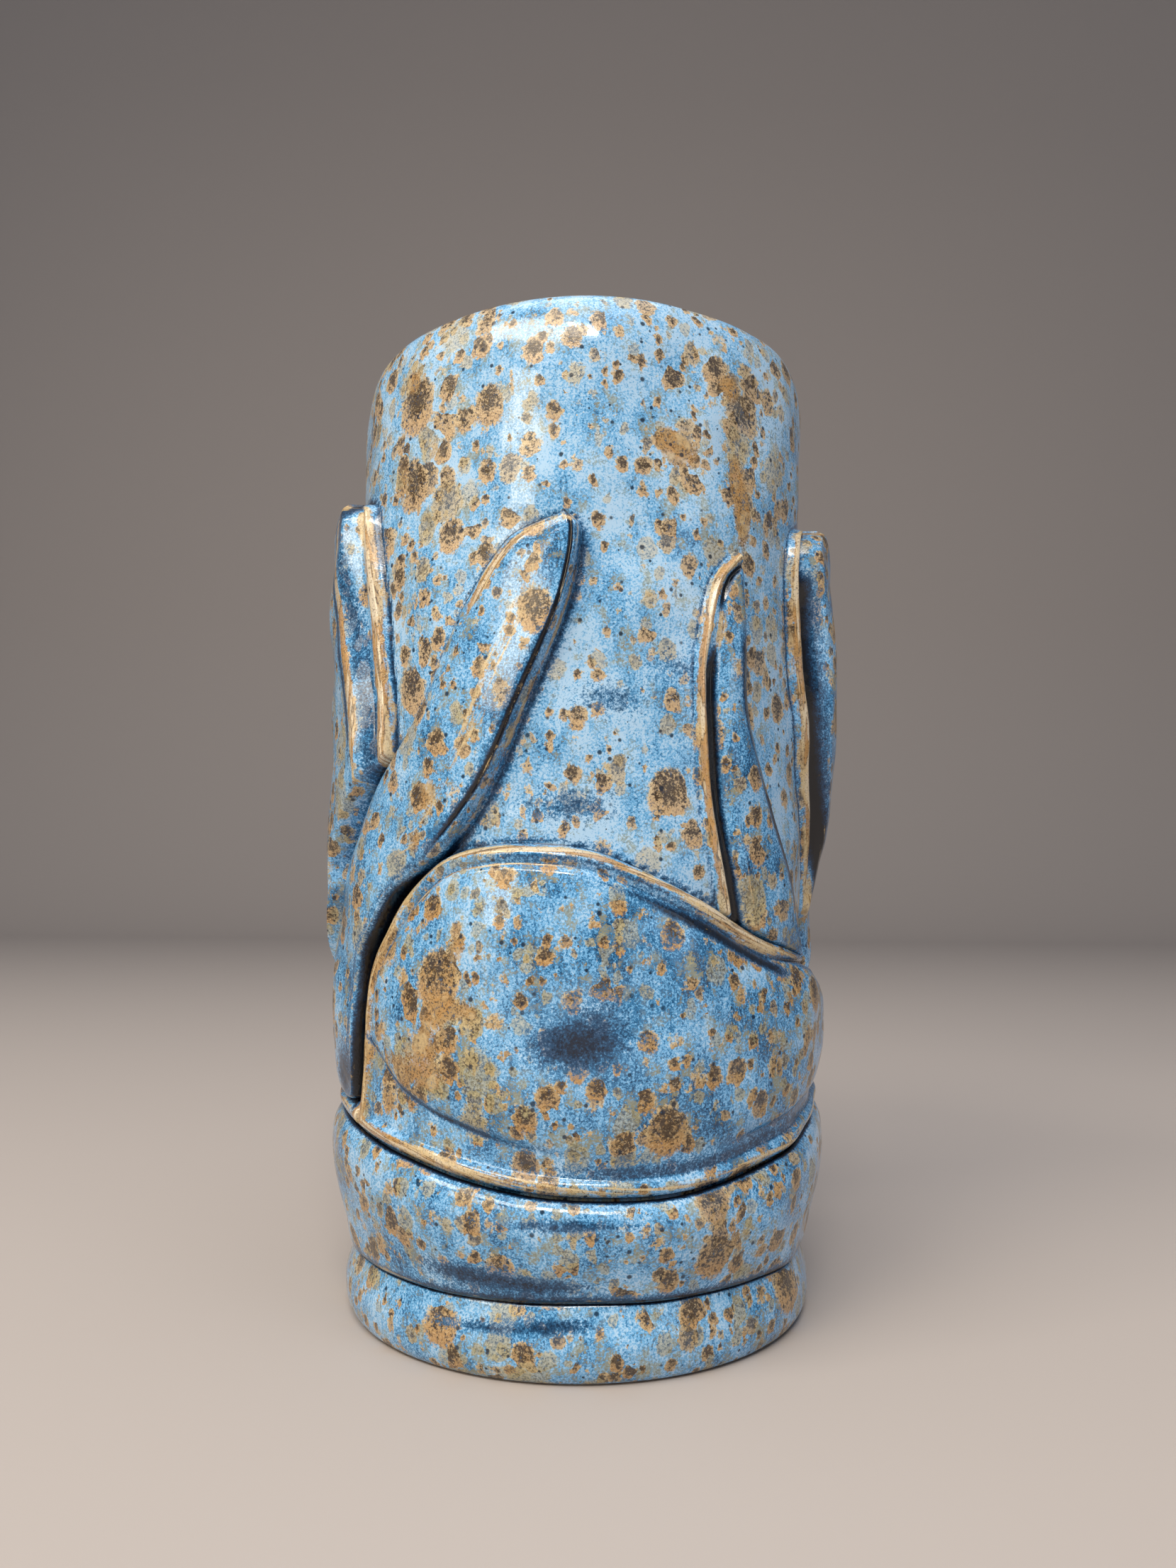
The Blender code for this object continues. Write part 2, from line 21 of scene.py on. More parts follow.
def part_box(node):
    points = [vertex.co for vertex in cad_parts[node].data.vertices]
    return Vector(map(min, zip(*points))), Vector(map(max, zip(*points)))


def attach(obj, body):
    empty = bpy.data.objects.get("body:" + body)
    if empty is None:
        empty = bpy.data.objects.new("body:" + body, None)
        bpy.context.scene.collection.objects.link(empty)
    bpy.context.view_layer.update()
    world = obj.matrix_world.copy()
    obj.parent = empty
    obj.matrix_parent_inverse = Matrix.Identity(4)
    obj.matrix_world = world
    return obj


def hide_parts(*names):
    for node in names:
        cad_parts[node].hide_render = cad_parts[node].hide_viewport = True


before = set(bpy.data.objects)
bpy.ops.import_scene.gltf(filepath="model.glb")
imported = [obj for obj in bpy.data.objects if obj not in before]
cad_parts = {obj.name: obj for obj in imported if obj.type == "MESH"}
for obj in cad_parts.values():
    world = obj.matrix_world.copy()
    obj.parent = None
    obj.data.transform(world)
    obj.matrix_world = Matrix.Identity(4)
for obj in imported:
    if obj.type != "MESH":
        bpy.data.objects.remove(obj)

Array = NDArray[np.float64]
Point = tuple[float, ...]
Socket = bpy.types.NodeSocket

LOG = logging.getLogger("tulip_vase")
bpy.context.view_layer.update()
MM = 0.001
TINY = 1e-9  # keeps a share from being divided by nothing
FAR = 9.0  # millimetres, stands for any distance that is too far to matter
NEAR = 4.0  # how far outside an outline distances from it are measured
NEAR_DEGREES = 9.0  # the same to either side of a leaf
OUTSIDE_FALL = 2.6  # how fast a piece's relief falls outside its outline
HIDDEN = -3.0  # relief below which a piece doesn't need to be cut back
SUNK = 1.6  # how far a piece is sunk into the wall where another lies over it
BACK_DEPTH = 3.2  # how far the hidden back of a laid piece lies inside the wall
BACK_COLUMNS = 7  # points across that back
JOINT = 0.3  # the slip joint between the foot and the belt
PATCH_REACH = 0.995  # share of the margin that the ends of a piece's grid lie at
CHUNK = 6000  # points that are measured at a time, so that the arrays stay small
LEAF_LINE_ROWS = 180
ARCH_ROWS = 260
SECTION_ROWS = 420
HALF_TURN = 180.0
FULL_TURN = 360.0


class Side(Enum):
    """The two sides that carry the motif, each with its turn in degrees."""

    FRONT = 0.0
    BACK = HALF_TURN


class Slot(Enum):
    """The material slots."""

    BODY = "body_glaze"
    LEAF = "leaf_glaze"
    PETAL = "petal_glaze"
    FOOT = "foot_glaze"


class Line(Enum):
    """The lines of a leaf that a score can follow."""

    LEFT = "left"
    CROWN = "crown"
    RIGHT = "right"


class Mask(Enum):
    """Values kept at every point of a glazed surface, which its material reads.

    Rill is the distance from the piece's edge, in millimetres. The others are strengths. Crest is where
    the glaze thins and also carries painted highlights; pool is where it gathers and also carries painted
    shade and painted dark reflection.
    """

    CREST = "crest"
    POOL = "pool"
    OCHRE = "ochre"
    BARE = "bare"
    RILL = "rill"

    @property
    def limits(self) -> tuple[float, float]:
        """Return the range that the mask is kept in."""
        return {"rill": (0.0, FAR), "ochre": (-1.0, 1.5)}.get(self.value, (0.0, 1.5))


def node_top(node: str) -> float:
    """Return the height of a frame node's top, in millimetres."""
    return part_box(node)[1].z / MM


def node_reach(node: str) -> float:
    """Return a frame node's outer radius on the X axis, in millimetres."""
    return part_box(node)[1].x / MM


def smooth_step(value: Array, low: float, high: float) -> Array:
    """Rise from 0 at low to 1 at high along a cubic with level ends: 3t^2 - 2t^3.

    Where high is the smaller of the two it falls instead, as the value grows.

    Args:
        value: The values to map.
        low: Where the rise starts.
        high: Where it ends.

    Returns:
        The shares, from 0 to 1.
    """
    share = np.clip((value - low) / (high - low), 0.0, 1.0)
    return share * share * (3.0 - 2.0 * share)


def bell(value: Array, centre: float, width: float) -> Array:
    """Return a bell across a centre: exp(-((value - centre) / width)^2)."""
    return np.exp(-(((value - centre) / width) ** 2))


def quarter_round(distance: Array, radius: float) -> Array:
    """Rise from 0 to 1 along a quarter circle: sqrt(t (2 - t)), where t is distance / radius."""
    share = np.clip(distance / radius, 0.0, 1.0)
    return np.sqrt(share * (2.0 - share))


def ease_ends(share: Array, strength: float) -> Array:
    """Draw even shares closer together at both ends: t - strength sin(2 pi t) / (2 pi)."""
    return share - strength * np.sin(2 * np.pi * share) / (2 * np.pi)


def smooth_max(one: Array, other: Array, blend: float | Array) -> Array:
    """Join two surfaces with a fillet: the larger, raised by blend/4 where they cross.

    Args:
        one: The first surface's relief.
        other: The second surface's relief.
        blend: The difference in relief over which the fillet runs.

    Returns:
        The joined relief.
    """
    share = np.clip(0.5 + 0.5 * (one - other) / blend, 0.0, 1.0)
    return other + (one - other) * share + blend * share * (1.0 - share)


def soft_table(value: Array, points: tuple[Point, ...], softness: float) -> Array:
    """Read a table of straight runs with its corners rounded, as the mean of seven shifted readings.

    Args:
        value: Where to read the table.
        points: Place and value of each corner, in rising order of place.
        softness: Distance that the rounding reaches to either side.

    Returns:
        The table's values.
    """
    places = [point[0] for point in points]
    values = [point[1] for point in points]
    shifts = np.linspace(-1.0, 1.0, 7)
    weights = 1.0 + np.cos(np.pi * shifts * 0.9)
    total = sum(w * np.interp(value + s * softness, places, values) for s, w in zip(shifts, weights))
    return total / weights.sum()


def catmull_rom(rows: Array, count: int) -> Array:
    """Run a smooth curve through rows of values, on a uniform Catmull-Rom spline.

    Args:
        rows: The rows, on the first axis.
        count: How many rows to return.

    Returns:
        The rows along the curve, from the first to the last.
    """
    place = np.linspace(0.0, len(rows) - 1.0, count)
    first = np.minimum(place.astype(int), len(rows) - 2)
    share = (place - first).reshape(-1, *([1] * (rows.ndim - 1)))
    before, here, there, after = (rows[np.clip(first + step, 0, len(rows) - 1)] for step in (-1, 0, 1, 2))
    square, cube = share**2, share**3
    return (
        here * (2 * cube - 3 * square + 1)
        + (there - before) * 0.5 * (cube - 2 * square + share)
        + there * (3 * square - 2 * cube)
        + (after - here) * 0.5 * (cube - square)
    )


def distance_to_line(across: Array, up: Array, line_across: Array, line_up: Array) -> Array:
    """Measure the distance from points to a line of straight runs, on the unrolled wall.

    Each point is dropped onto each run, the foot is kept within the run, and the shortest is taken.

    Args:
        across: The points' places along the wall, in millimetres.
        up: The points' heights.
        line_across: The line's places along the wall.
        line_up: The line's heights.

    Returns:
        The distance of each point.
    """
    start_a, start_u = line_across[:-1], line_up[:-1]
    run_a, run_u = np.diff(line_across), np.diff(line_up)
    length = np.maximum(run_a**2 + run_u**2, 1e-12)
    found = np.empty(across.shape)
    for low in range(0, across.size, CHUNK):
        part = slice(low, low + CHUNK)
        off_a, off_u = across[part, None] - start_a, up[part, None] - start_u
        share = np.clip((off_a * run_a + off_u * run_u) / length, 0.0, 1.0)
        gap = (off_a - share * run_a) ** 2 + (off_u - share * run_u) ** 2
        found[part] = np.sqrt(gap.min(axis=1))
    return found


@dataclass(frozen=True)
class Wall:
    """The thrown wall that every other piece is laid on.

    Its outer radius is constant above the belt and eases in by the taper behind it.
    """

    top: float = node_top("thrown_body")
    radius: float = node_reach("thrown_body")
    base_taper: float = 2.6
    foot_height: float = node_top("foot_ring") + JOINT
    belt_height: float = 37.2
    belt_wave: float = 4.8
    belt_dip: float = 8.0

    @property
    def degree(self) -> float:
        """Return the length of one degree along the wall, in millimetres."""
        return self.radius * math.pi / HALF_TURN

    def outer(self, height: Array) -> Array:
        """Return the outer radius at a height."""
        swell = smooth_step(height, self.foot_height, self.belt_height)
        return self.radius - self.base_taper * (1.0 - swell)

    def belt_top(self, azimuth: Array) -> Array:
        """Return the height of the belt's top edge: its mean less a wave with two dips a turn."""
        return self.belt_height - self.belt_wave * np.cos(np.radians(2 * (azimuth - self.belt_dip)))


@dataclass(frozen=True)
class Hand:
    """The slight unevenness that a hand-built piece has, laid over every surface alike.

    The radius moves by a sum of plane waves of random direction and by faint throwing rings, and the
    rim tilts, lower at the front left than at the right. It fades out towards the resting face, which
    stays flat, and towards the axis.
    """

    waves: int = 26
    depth: float = 0.17
    shortest: float = 11.0
    longest: float = 60.0
    ring_depth: float = 0.018
    ring_pitch: float = 6.5
    rim_tilt: float = 0.9
    rim_tilt_azimuth: float = 75.0
    seed: int = 11

    def shape(self, points: Array) -> Array:
        """Move points, in millimetres, by the unevenness.

        Args:
            points: Places in space, on the last axis.

        Returns:
            The moved points.
        """
        random = np.random.default_rng(self.seed)
        length = np.exp(random.uniform(np.log(self.shortest), np.log(self.longest), self.waves))
        heading = random.normal(size=(self.waves, 3)) * (1.0, 1.0, 0.55)
        heading *= (2 * np.pi / length / np.linalg.norm(heading, axis=1))[:, None]
        phase = random.uniform(0, 2 * np.pi, self.waves)
        strength = (length / self.longest) ** 0.7
        push = np.zeros(points.shape[:-1])
        for wave in range(self.waves):
            push += strength[wave] * np.sin(points @ heading[wave] + phase[wave])
        push *= self.depth
        x, y, z = np.moveaxis(points, -1, 0)
        radius = np.maximum(np.hypot(x, y), TINY)
        push += self.ring_depth * np.sin(2 * np.pi * (z + 0.05 * x) / self.ring_pitch)
        share = smooth_step(z, 1.5, 9.0) * smooth_step(radius, 20.0, 38.0)
        scale = 1.0 + push * share / radius
        toward = math.radians(self.rim_tilt_azimuth)
        lean = (x * math.sin(toward) - y * math.cos(toward)) / node_reach("thrown_body")
        lift = self.rim_tilt * lean * smooth_step(z, 130.0, 200.0)
        return np.stack([x * scale, y * scale, z + lift], axis=-1)


WALL = Wall()
HAND = Hand()


def wrap(azimuth: Array) -> Array:
    """Bring azimuths into the range from -180 to 180 degrees."""
    return (azimuth + HALF_TURN) % FULL_TURN - HALF_TURN


@dataclass(frozen=True)
class Score:
    """A line drawn along a piece: a groove or a ridge, and what the glaze does in it. Some scores are
    painted highlights, and some painted shade.

    Its cross-section is a bell, exp(-(offset/width)^2), and it fades in and out along the piece.
    """

    line: Line
    offset: float
    width: float
    depth: float = 0.0
    pool: float = 0.0
    crest: float = 0.0
    start: float = 0.0
    end: float = 1.0
    fade: float = 0.06

    def strength(self, distance: Array, share: Array) -> Array:
        """Return the score's strength from 0 to 1.

        Args:
            distance: Distance from the line that the score follows, in millimetres.
            share: Share of the piece's length.

        Returns:
            The strength.
        """
        rising = smooth_step(share, self.start - self.fade, self.start + self.fade)
        falling = smooth_step(share, self.end + self.fade, self.end - self.fade)
        return bell(distance, self.offset, self.width) * rising * falling


@dataclass(frozen=True)
class Trim:
    """A piece that lies over another and cuts it back, from start to end in from its own edge."""

    over: "Relief"
    side: Side
    start: float = -0.6
    end: float = 0.8


@dataclass
class Relief:
    """A piece laid on the wall, with the pieces that lie over it and cut it back.

    The fillet is how softly it joins what it lies on, and the margin is how far its mesh reaches past
    its outline, both in millimetres. The form's share is how much the glaze answers to its form.
    """

    name: str
    slot: Slot
    fillet: float = 0.9
    margin: float = 2.2
    form_share: float = 0.6
    trims: list[Trim] = field(default_factory=list)

    def edge_distance(self, azimuth: Array, height: Array) -> Array:
        """Return the distance inside the piece's outline, negative outside it."""
        raise NotImplementedError

    def own_relief(self, azimuth: Array, height: Array) -> Array:
        """Return the piece's own relief, which falls away outside its outline."""
        raise NotImplementedError

    def own_masks(self, azimuth: Array, height: Array) -> dict[Mask, Array]:
        """Return what the piece adds to the glaze masks."""
        raise NotImplementedError

    def patch(self) -> tuple[Array, Array]:
        """Return the azimuths and heights of a grid that covers the piece and a margin round it."""
        raise NotImplementedError

    def relief(self, azimuth: Array, height: Array, side: Side) -> Array:
        """Return the relief of the copy on one side, sunk where other pieces lie over it.

        Args:
            azimuth: Azimuths, in any range.
            height: Heights, of the same shape.
            side: Which copy.

        Returns:
            The relief.
        """
        found = self.own_relief(wrap(azimuth - side.value), height)
        shown = found > HIDDEN
        for trim in self.trims:
            turn = trim.side.value + side.value
            sink = np.zeros(found.shape)
            inside = trim.over.edge_distance(wrap(azimuth[shown] - turn), height[shown])
            sink[shown] = smooth_step(inside, trim.start, trim.end)
            found = found * (1.0 - sink) - SUNK * sink
        return found


def spread(low: Array, high: Array, count: int) -> Array:
    """Return evenly spaced columns from low to high, without the last one."""
    return low[:, None] + (high - low)[:, None] * (np.arange(count) / count)


@dataclass
class Leaf(Relief):
    """A tulip leaf: an outline and a crown line up the wall, and a slope from each edge to the crown.

    Rows run from base to tip: share of the rise, azimuths of the left edge, the crown and the right
    edge, and share of the full thickness. Slopes give relief at shares of the way from edge to crown.
    A curl takes the left slope's place where there is one: it gives relief at distances from the left
    edge, and turns into the closed curl between the two shares of the rise in closing. The blend
    rounds the crown, where the slopes meet, and the softness rounds each slope's own corners. The
    mesh has a row every step of height, and so many columns in each margin and on each slope.
    """

    slot: Slot = Slot.LEAF
    form_share: float = 0.25
    base: float = 0.0
    tip: float = 0.0
    rows: tuple[Point, ...] = ()
    left_slope: tuple[Point, ...] = ((0.0, 0.9), (1.0, 0.9))
    curl: tuple[Point, ...] = ()
    curl_closed: tuple[Point, ...] = ()
    closing: tuple[float, float] = (0.0, 1.0)
    right_slope: tuple[Point, ...] = ()
    edge_round: float = 1.5
    edge: float = 0.9
    tip_round: float = 3.0
    blend: float = 0.7
    softness: float = 0.05
    scores: tuple[Score, ...] = ()
    step: float = 0.42
    columns: tuple[int, int, int] = (10, 44, 30)

    @cached_property
    def lines(self) -> dict[str, Array]:
        """Return the leaf's lines at close heights, with its ends drawn in to a round tip.

        Returns:
            Heights, left edge, crown and right edge in degrees, place of the crown, and thickness.
        """
        share, left, crown, right, thickness = catmull_rom(np.array(self.rows), LEAF_LINE_ROWS).T
        height = self.base + (self.tip - self.base) * share
        past_end = np.maximum(height - self.tip, self.base - height) / self.tip_round + 1.0
        draw = 1.0 - np.sqrt(1.0 - np.clip(past_end, 0.0, 1.0) ** 2)
        return {
            "height": height,
            "left": left + (crown - left) * draw,
            "right": right + (crown - right) * draw,
            "crown": crown,
            "place": np.clip((crown - left) / (right - left), 0.12, 0.96),
            "thickness": thickness,
        }

    def at(self, name: str, height: Array) -> Array:
        """Return one of the leaf's lines at given heights."""
        return np.interp(height, self.lines["height"], self.lines[name])

    def share(self, height: Array) -> Array:
        """Return the share of the leaf's rise at given heights."""
        return (height - self.base) / (self.tip - self.base)

    def measure(self, azimuth: Array, height: Array) -> tuple[Array, Array, Array]:
        """Measure points against the leaf's two edges.

        Args:
            azimuth: Azimuths on the leaf's own side.
            height: Heights, of the same shape.

        Returns:
            Distances from the left edge and from the right edge, and whether each point is inside.
        """
        from_left = np.full(azimuth.shape, FAR)
        from_right = np.full(azimuth.shape, FAR)
        left, right = self.at("left", height), self.at("right", height)
        inside = (height > self.base) & (height < self.tip) & (azimuth > left) & (azimuth < right)
        near = (height > self.base - NEAR) & (height < self.tip + NEAR)
        near &= (azimuth > left - NEAR_DEGREES) & (azimuth < right + NEAR_DEGREES)
        if near.any():
            across, up = azimuth[near] * WALL.degree, height[near]
            line_up = self.lines["height"][::2]
            for key, found in (("left", from_left), ("right", from_right)):
                found[near] = distance_to_line(across, up, self.lines[key][::2] * WALL.degree, line_up)
        return from_left, from_right, inside

    def edge_distance(self, azimuth: Array, height: Array) -> Array:
        """Return the distance inside the leaf's outline, negative outside it."""
        from_left, from_right, inside = self.measure(azimuth, height)
        nearest = np.minimum(from_left, from_right)
        return np.where(inside, nearest, -nearest)

    def score_strengths(self, azimuth: Array, height: Array) -> list[tuple[Score, Array]]:
        """Return each of the leaf's scores with its strength at the points.

        A score's distance is measured square to its line: the way across is divided by
        sqrt(1 + lean^2), where the lean is the line's way across for each millimetre of height.

        Args:
            azimuth: Azimuths on the piece's own side.
            height: Heights, of the same shape.

        Returns:
            Each score and its strengths.
        """
        share = self.share(height)
        found = []
        for score in self.scores:
            line = self.at(score.line.value, height)
            lean = np.gradient(self.lines[score.line.value], self.lines["height"]) * WALL.degree
            squeeze = 1.0 / np.sqrt(1.0 + np.interp(height, self.lines["height"], lean) ** 2)
            towards = -1.0 if score.line is Line.RIGHT else 1.0
            distance = (azimuth - line) * WALL.degree * squeeze * towards
            found.append((score, score.strength(distance, share)))
        return found

    def own_relief(self, azimuth: Array, height: Array) -> Array:
        """Return the leaf's relief.

        The place across is the distance from the left edge over the sum of both distances. The lower
        of the two slopes there is the leaf's height, which a quarter round draws down at the outline,
        and the scores are cut into it. Outside, the relief falls steeply.

        Args:
            azimuth: Azimuths on the piece's own side.
            height: Heights, of the same shape.

        Returns:
            The relief.
        """
        from_left, from_right, inside = self.measure(azimuth, height)
        nearest = np.minimum(from_left, from_right)
        across = from_left / np.maximum(from_left + from_right, TINY)
        place = self.at("place", height)
        rising = soft_table(across / place, self.left_slope, self.softness)
        if self.curl:
            closed = smooth_step(self.share(height), *self.closing)
            rising = soft_table(from_left, self.curl, 0.18) * (1.0 - closed)
            rising = rising + soft_table(from_left, self.curl_closed, 0.3) * closed
        falling = soft_table((1.0 - across) / (1.0 - place), self.right_slope, self.softness)
        full = -smooth_max(-rising, -falling, self.blend)
        full = self.edge + (full - self.edge) * self.at("thickness", height)
        full = full * quarter_round(nearest, self.edge_round)
        for score, strength in self.score_strengths(azimuth, height):
            full = full - score.depth * strength
        return np.where(inside, full, -OUTSIDE_FALL * nearest)

    def own_masks(self, azimuth: Array, height: Array) -> dict[Mask, Array]:
        """Return what the scores add to the glaze masks.

        Args:
            azimuth: Azimuths on the piece's own side.
            height: Heights, of the same shape.

        Returns:
            The masks' values.
        """
        masks = {mask: np.zeros(azimuth.shape) for mask in (Mask.POOL, Mask.CREST)}
        for score, strength in self.score_strengths(azimuth, height):
            masks[Mask.POOL] += score.pool * strength
            masks[Mask.CREST] += score.crest * strength
        return masks

    def patch(self) -> tuple[Array, Array]:
        """Return the azimuths and heights of a grid that covers the leaf and a margin round it.

        Rows run up the leaf, closer together at its ends. Their ends lie on the outline's offset: for
        a row at height z it is the outermost of edge(z') + sqrt(margin^2 - (z - z')^2). Columns are
        shared out among the margins and the two slopes, so that they follow the edges and the crown.

        Returns:
            The azimuths and the heights, row by row.
        """
        reach = self.margin * PATCH_REACH
        low, high = self.base - reach, self.tip + reach
        place = np.linspace(0.0, 1.0, int((high - low) / self.step))
        height = low + (high - low) * ease_ends(place, 0.55)
        near = self.margin**2 - (height[:, None] - self.lines["height"]) ** 2
        grow = np.sqrt(np.clip(near, 0.0, None)) / WALL.degree
        outer_left = np.where(near >= 0, self.lines["left"] - grow, FULL_TURN).min(axis=1)
        outer_right = np.where(near >= 0, self.lines["right"] + grow, -FULL_TURN).max(axis=1)
        width = outer_right - outer_left
        shares = [(self.at(key, height) - outer_left) / width for key in ("left", "crown", "right")]
        left = np.clip(shares[0], 0.04, 0.34)
        right = np.clip(shares[2], 0.66, 0.96)
        crown = np.clip(shares[1], left + 0.05, right - 0.05)
        edge, rising, falling = self.columns
        stops = [
            spread(np.zeros(len(height)), left, edge),
            spread(left, crown, rising),
            spread(crown, right, falling),
            spread(right, np.ones(len(height)), edge),
            np.ones((len(height), 1)),
        ]
        azimuth = outer_left[:, None] + width[:, None] * np.concatenate(stops, axis=1)
        return azimuth, np.broadcast_to(height[:, None], azimuth.shape)


@dataclass(frozen=True)
class Stroke:
    """A line along a petal's edge: a bell across it, faded along the petal. Most are lines that the glaze
    makes; one is a painted highlight.

    It lies at a distance from the arch or else above the bottom. A fade is a pair of azimuths, and
    the stroke comes up from the first to the second.
    """

    mask: Mask
    from_arch: bool
    centre: float
    width: float
    strength: float
    fades: tuple[tuple[float, float], ...] = ()


PETAL_STROKES = (
    Stroke(Mask.CREST, True, 2.1, 1.7, 0.45, ((-32.0, -48.0),)),
    Stroke(Mask.CREST, True, 2.1, 1.7, 0.75, ((20.0, 34.0), (52.0, 43.0))),
    Stroke(Mask.CREST, True, 0.9, 0.45, 0.7, ((-46.0, -34.0),)),
    # Painted highlight: a thin cream line on the belly's shoulder just inside the arch.
    Stroke(Mask.CREST, True, 3.7, 0.3, 0.7, ((-40.0, -34.0), (6.0, -8.0))),
    Stroke(Mask.CREST, False, 2.0, 1.3, 0.35),
    Stroke(Mask.CREST, False, 2.0, 1.3, 0.45, ((-4.0, -34.0),)),
    Stroke(Mask.OCHRE, True, 2.3, 2.2, 0.95, ((-32.0, -48.0),)),
    Stroke(Mask.POOL, False, 5.0, 1.5, 0.45, ((-12.0, 8.0),)),
    Stroke(Mask.POOL, True, 4.9, 1.1, 0.9, ((-4.0, 28.0), (56.0, 44.0))),
    Stroke(Mask.POOL, True, 2.2, 0.7, 0.4, ((-30.0, -10.0),)),
)


@dataclass
class BudPetal(Relief):
    """A bud petal: a domed panel between the belt and an arch, with a rolled lip and a hem.

    The arch runs from the steep left end to the end that tucks under the next leaf: azimuth and share
    of the height between the belt and the crown. The hem and the open hem give the dome's share at
    distances above the bottom, with and without the crease, and the hem's fold says at each azimuth
    how much of the crease there is. The shoulder gives the dome's share at distances from the arch.
    """

    crown: float = 95.0
    belly: float = 5.4
    lip: float = 3.0
    lip_width: float = 4.2
    edge: float = 0.9
    edge_round: float = 1.2
    arch: tuple[Point, ...] = ()
    tuck: tuple[float, float] = (42.0, 72.0)
    hem: tuple[Point, ...] = (
        (0.0, 0.16), (2.6, 0.33), (7.2, 0.36), (8.2, 0.56), (9.6, 0.67), (14.0, 0.85),
        (24.0, 0.98), (34.0, 1.0),
    )
    open_hem: tuple[Point, ...] = (
        (0.0, 0.16), (2.6, 0.33), (5.0, 0.42), (9.0, 0.66), (14.0, 0.85), (24.0, 0.98), (34.0, 1.0),
    )
    hem_lifts: tuple[Point, ...] = (
        (-54.0, 12.0), (-47.0, 9.0), (-40.0, 4.8), (-30.0, 3.0), (-15.0, 1.4), (6.0, 0.0),
    )
    hem_fold: tuple[Point, ...] = (
        (-54.0, 0.7), (-46.0, 1.0), (-20.0, 1.0), (2.0, 0.15), (24.0, 0.1), (40.0, 0.6),
        (60.0, 0.75), (90.0, 0.3),
    )
    shoulder: tuple[Point, ...] = (
        (0.0, 0.16), (2.8, 0.3), (4.6, 0.63), (10.0, 0.85), (16.0, 0.95), (24.0, 1.0),
    )
    strokes: tuple[Stroke, ...] = PETAL_STROKES
    step: float = 0.4
    columns: int = 150

    @cached_property
    def top_line(self) -> tuple[Array, Array]:
        """Return azimuths and heights along the arch, close together.

        Returns:
            The azimuths and the heights.
        """
        azimuth, share = catmull_rom(np.array(self.arch), ARCH_ROWS).T
        azimuth = np.maximum.accumulate(azimuth + np.arange(ARCH_ROWS) * 1e-7)
        bottom = WALL.belt_top(azimuth)
        return azimuth, bottom + (self.crown - bottom) * share

    def measure(self, azimuth: Array, height: Array) -> tuple[Array, Array, Array]:
        """Measure points against the petal's outline.

        Args:
            azimuth: Azimuths on the petal's own side.
            height: Heights, of the same shape.

        Returns:
            Distances above the belt's edge and from the arch, and whether each point is inside.
        """
        line_azimuth, line_height = self.top_line
        ends = line_azimuth[[0, -1]]
        from_bottom = height - WALL.belt_top(azimuth)
        top = np.interp(azimuth, line_azimuth, line_height)
        from_top = np.full(azimuth.shape, FAR)
        inside = (azimuth > ends[0]) & (azimuth < ends[1]) & (from_bottom > 0) & (height < top)
        near = (azimuth > ends[0] - NEAR) & (azimuth < ends[1] + NEAR)
        near &= (from_bottom > -NEAR) & (height < top + NEAR)
        if near.any():
            low_first, low_last = WALL.belt_top(ends) - NEAR
            across = np.concatenate([ends[:1], line_azimuth, ends[1:]]) * WALL.degree
            up = np.concatenate([[low_first], line_height, [low_last]])
            from_top[near] = distance_to_line(azimuth[near] * WALL.degree, height[near], across, up)
        return from_bottom, from_top, inside

    def outside(self, from_bottom: Array, from_top: Array) -> Array:
        """Return the distance from the outline of points that lie outside it."""
        return np.where(from_bottom < 0, np.abs(from_bottom), from_top)

    def edge_distance(self, azimuth: Array, height: Array) -> Array:
        """Return the distance inside the petal's outline, negative outside it."""
        from_bottom, from_top, inside = self.measure(azimuth, height)
        nearest = np.minimum(from_bottom, from_top)
        return np.where(inside, nearest, -self.outside(from_bottom, from_top))

    def own_relief(self, azimuth: Array, height: Array) -> Array:
        """Return the petal's relief.

        The belly is the lower of two tables, one of the distance from the bottom and one of the
        distance from the arch. The lip is half an ellipse across the distance from the outline. The
        two meet in a soft groove. Past the tuck the lip fades and the top edge is a soft step.

        Args:
            azimuth: Azimuths on the piece's own side.
            height: Heights, of the same shape.

        Returns:
            The relief.
        """
        from_bottom, from_top, inside = self.measure(azimuth, height)
        tuck = smooth_step(azimuth, *self.tuck)
        level = self.below_lift(azimuth, from_bottom)
        creased = soft_table(level, self.hem, 0.5)
        plain = soft_table(level, self.open_hem, 1.2)
        low = plain + (creased - plain) * self.fold(azimuth)
        side = soft_table(from_top * (1.0 + 2.0 * tuck), self.shoulder, 0.7)
        domed = self.belly * -smooth_max(-low, -side, 0.06)
        inset = np.clip(np.minimum(from_bottom, from_top + self.lip_width * tuck), 0.0, None)
        across_lip = np.clip(inset / self.lip_width * 2.0 - 1.0, -1.0, 1.0)
        rolled = self.lip * np.sqrt(1.0 - across_lip**2)
        domed = np.maximum(domed, self.edge) * quarter_round(inset, self.edge_round)
        full = smooth_max(rolled, domed, 0.45)
        return np.where(inside, full, -OUTSIDE_FALL * self.outside(from_bottom, from_top))

    def fold(self, azimuth: Array) -> Array:
        """Return how much of the hem's crease there is at an azimuth."""
        return soft_table(azimuth, self.hem_fold, 4.0)

    def below_lift(self, azimuth: Array, from_bottom: Array) -> Array:
        """Return the distance above the bottom with the hem's flat stretch left out.

        The hem is flat for longer where its crease curves up towards the steep end.
        """
        lift = soft_table(azimuth, self.hem_lifts, 3.0)
        return from_bottom - np.clip(from_bottom - 3.0, 0.0, lift)

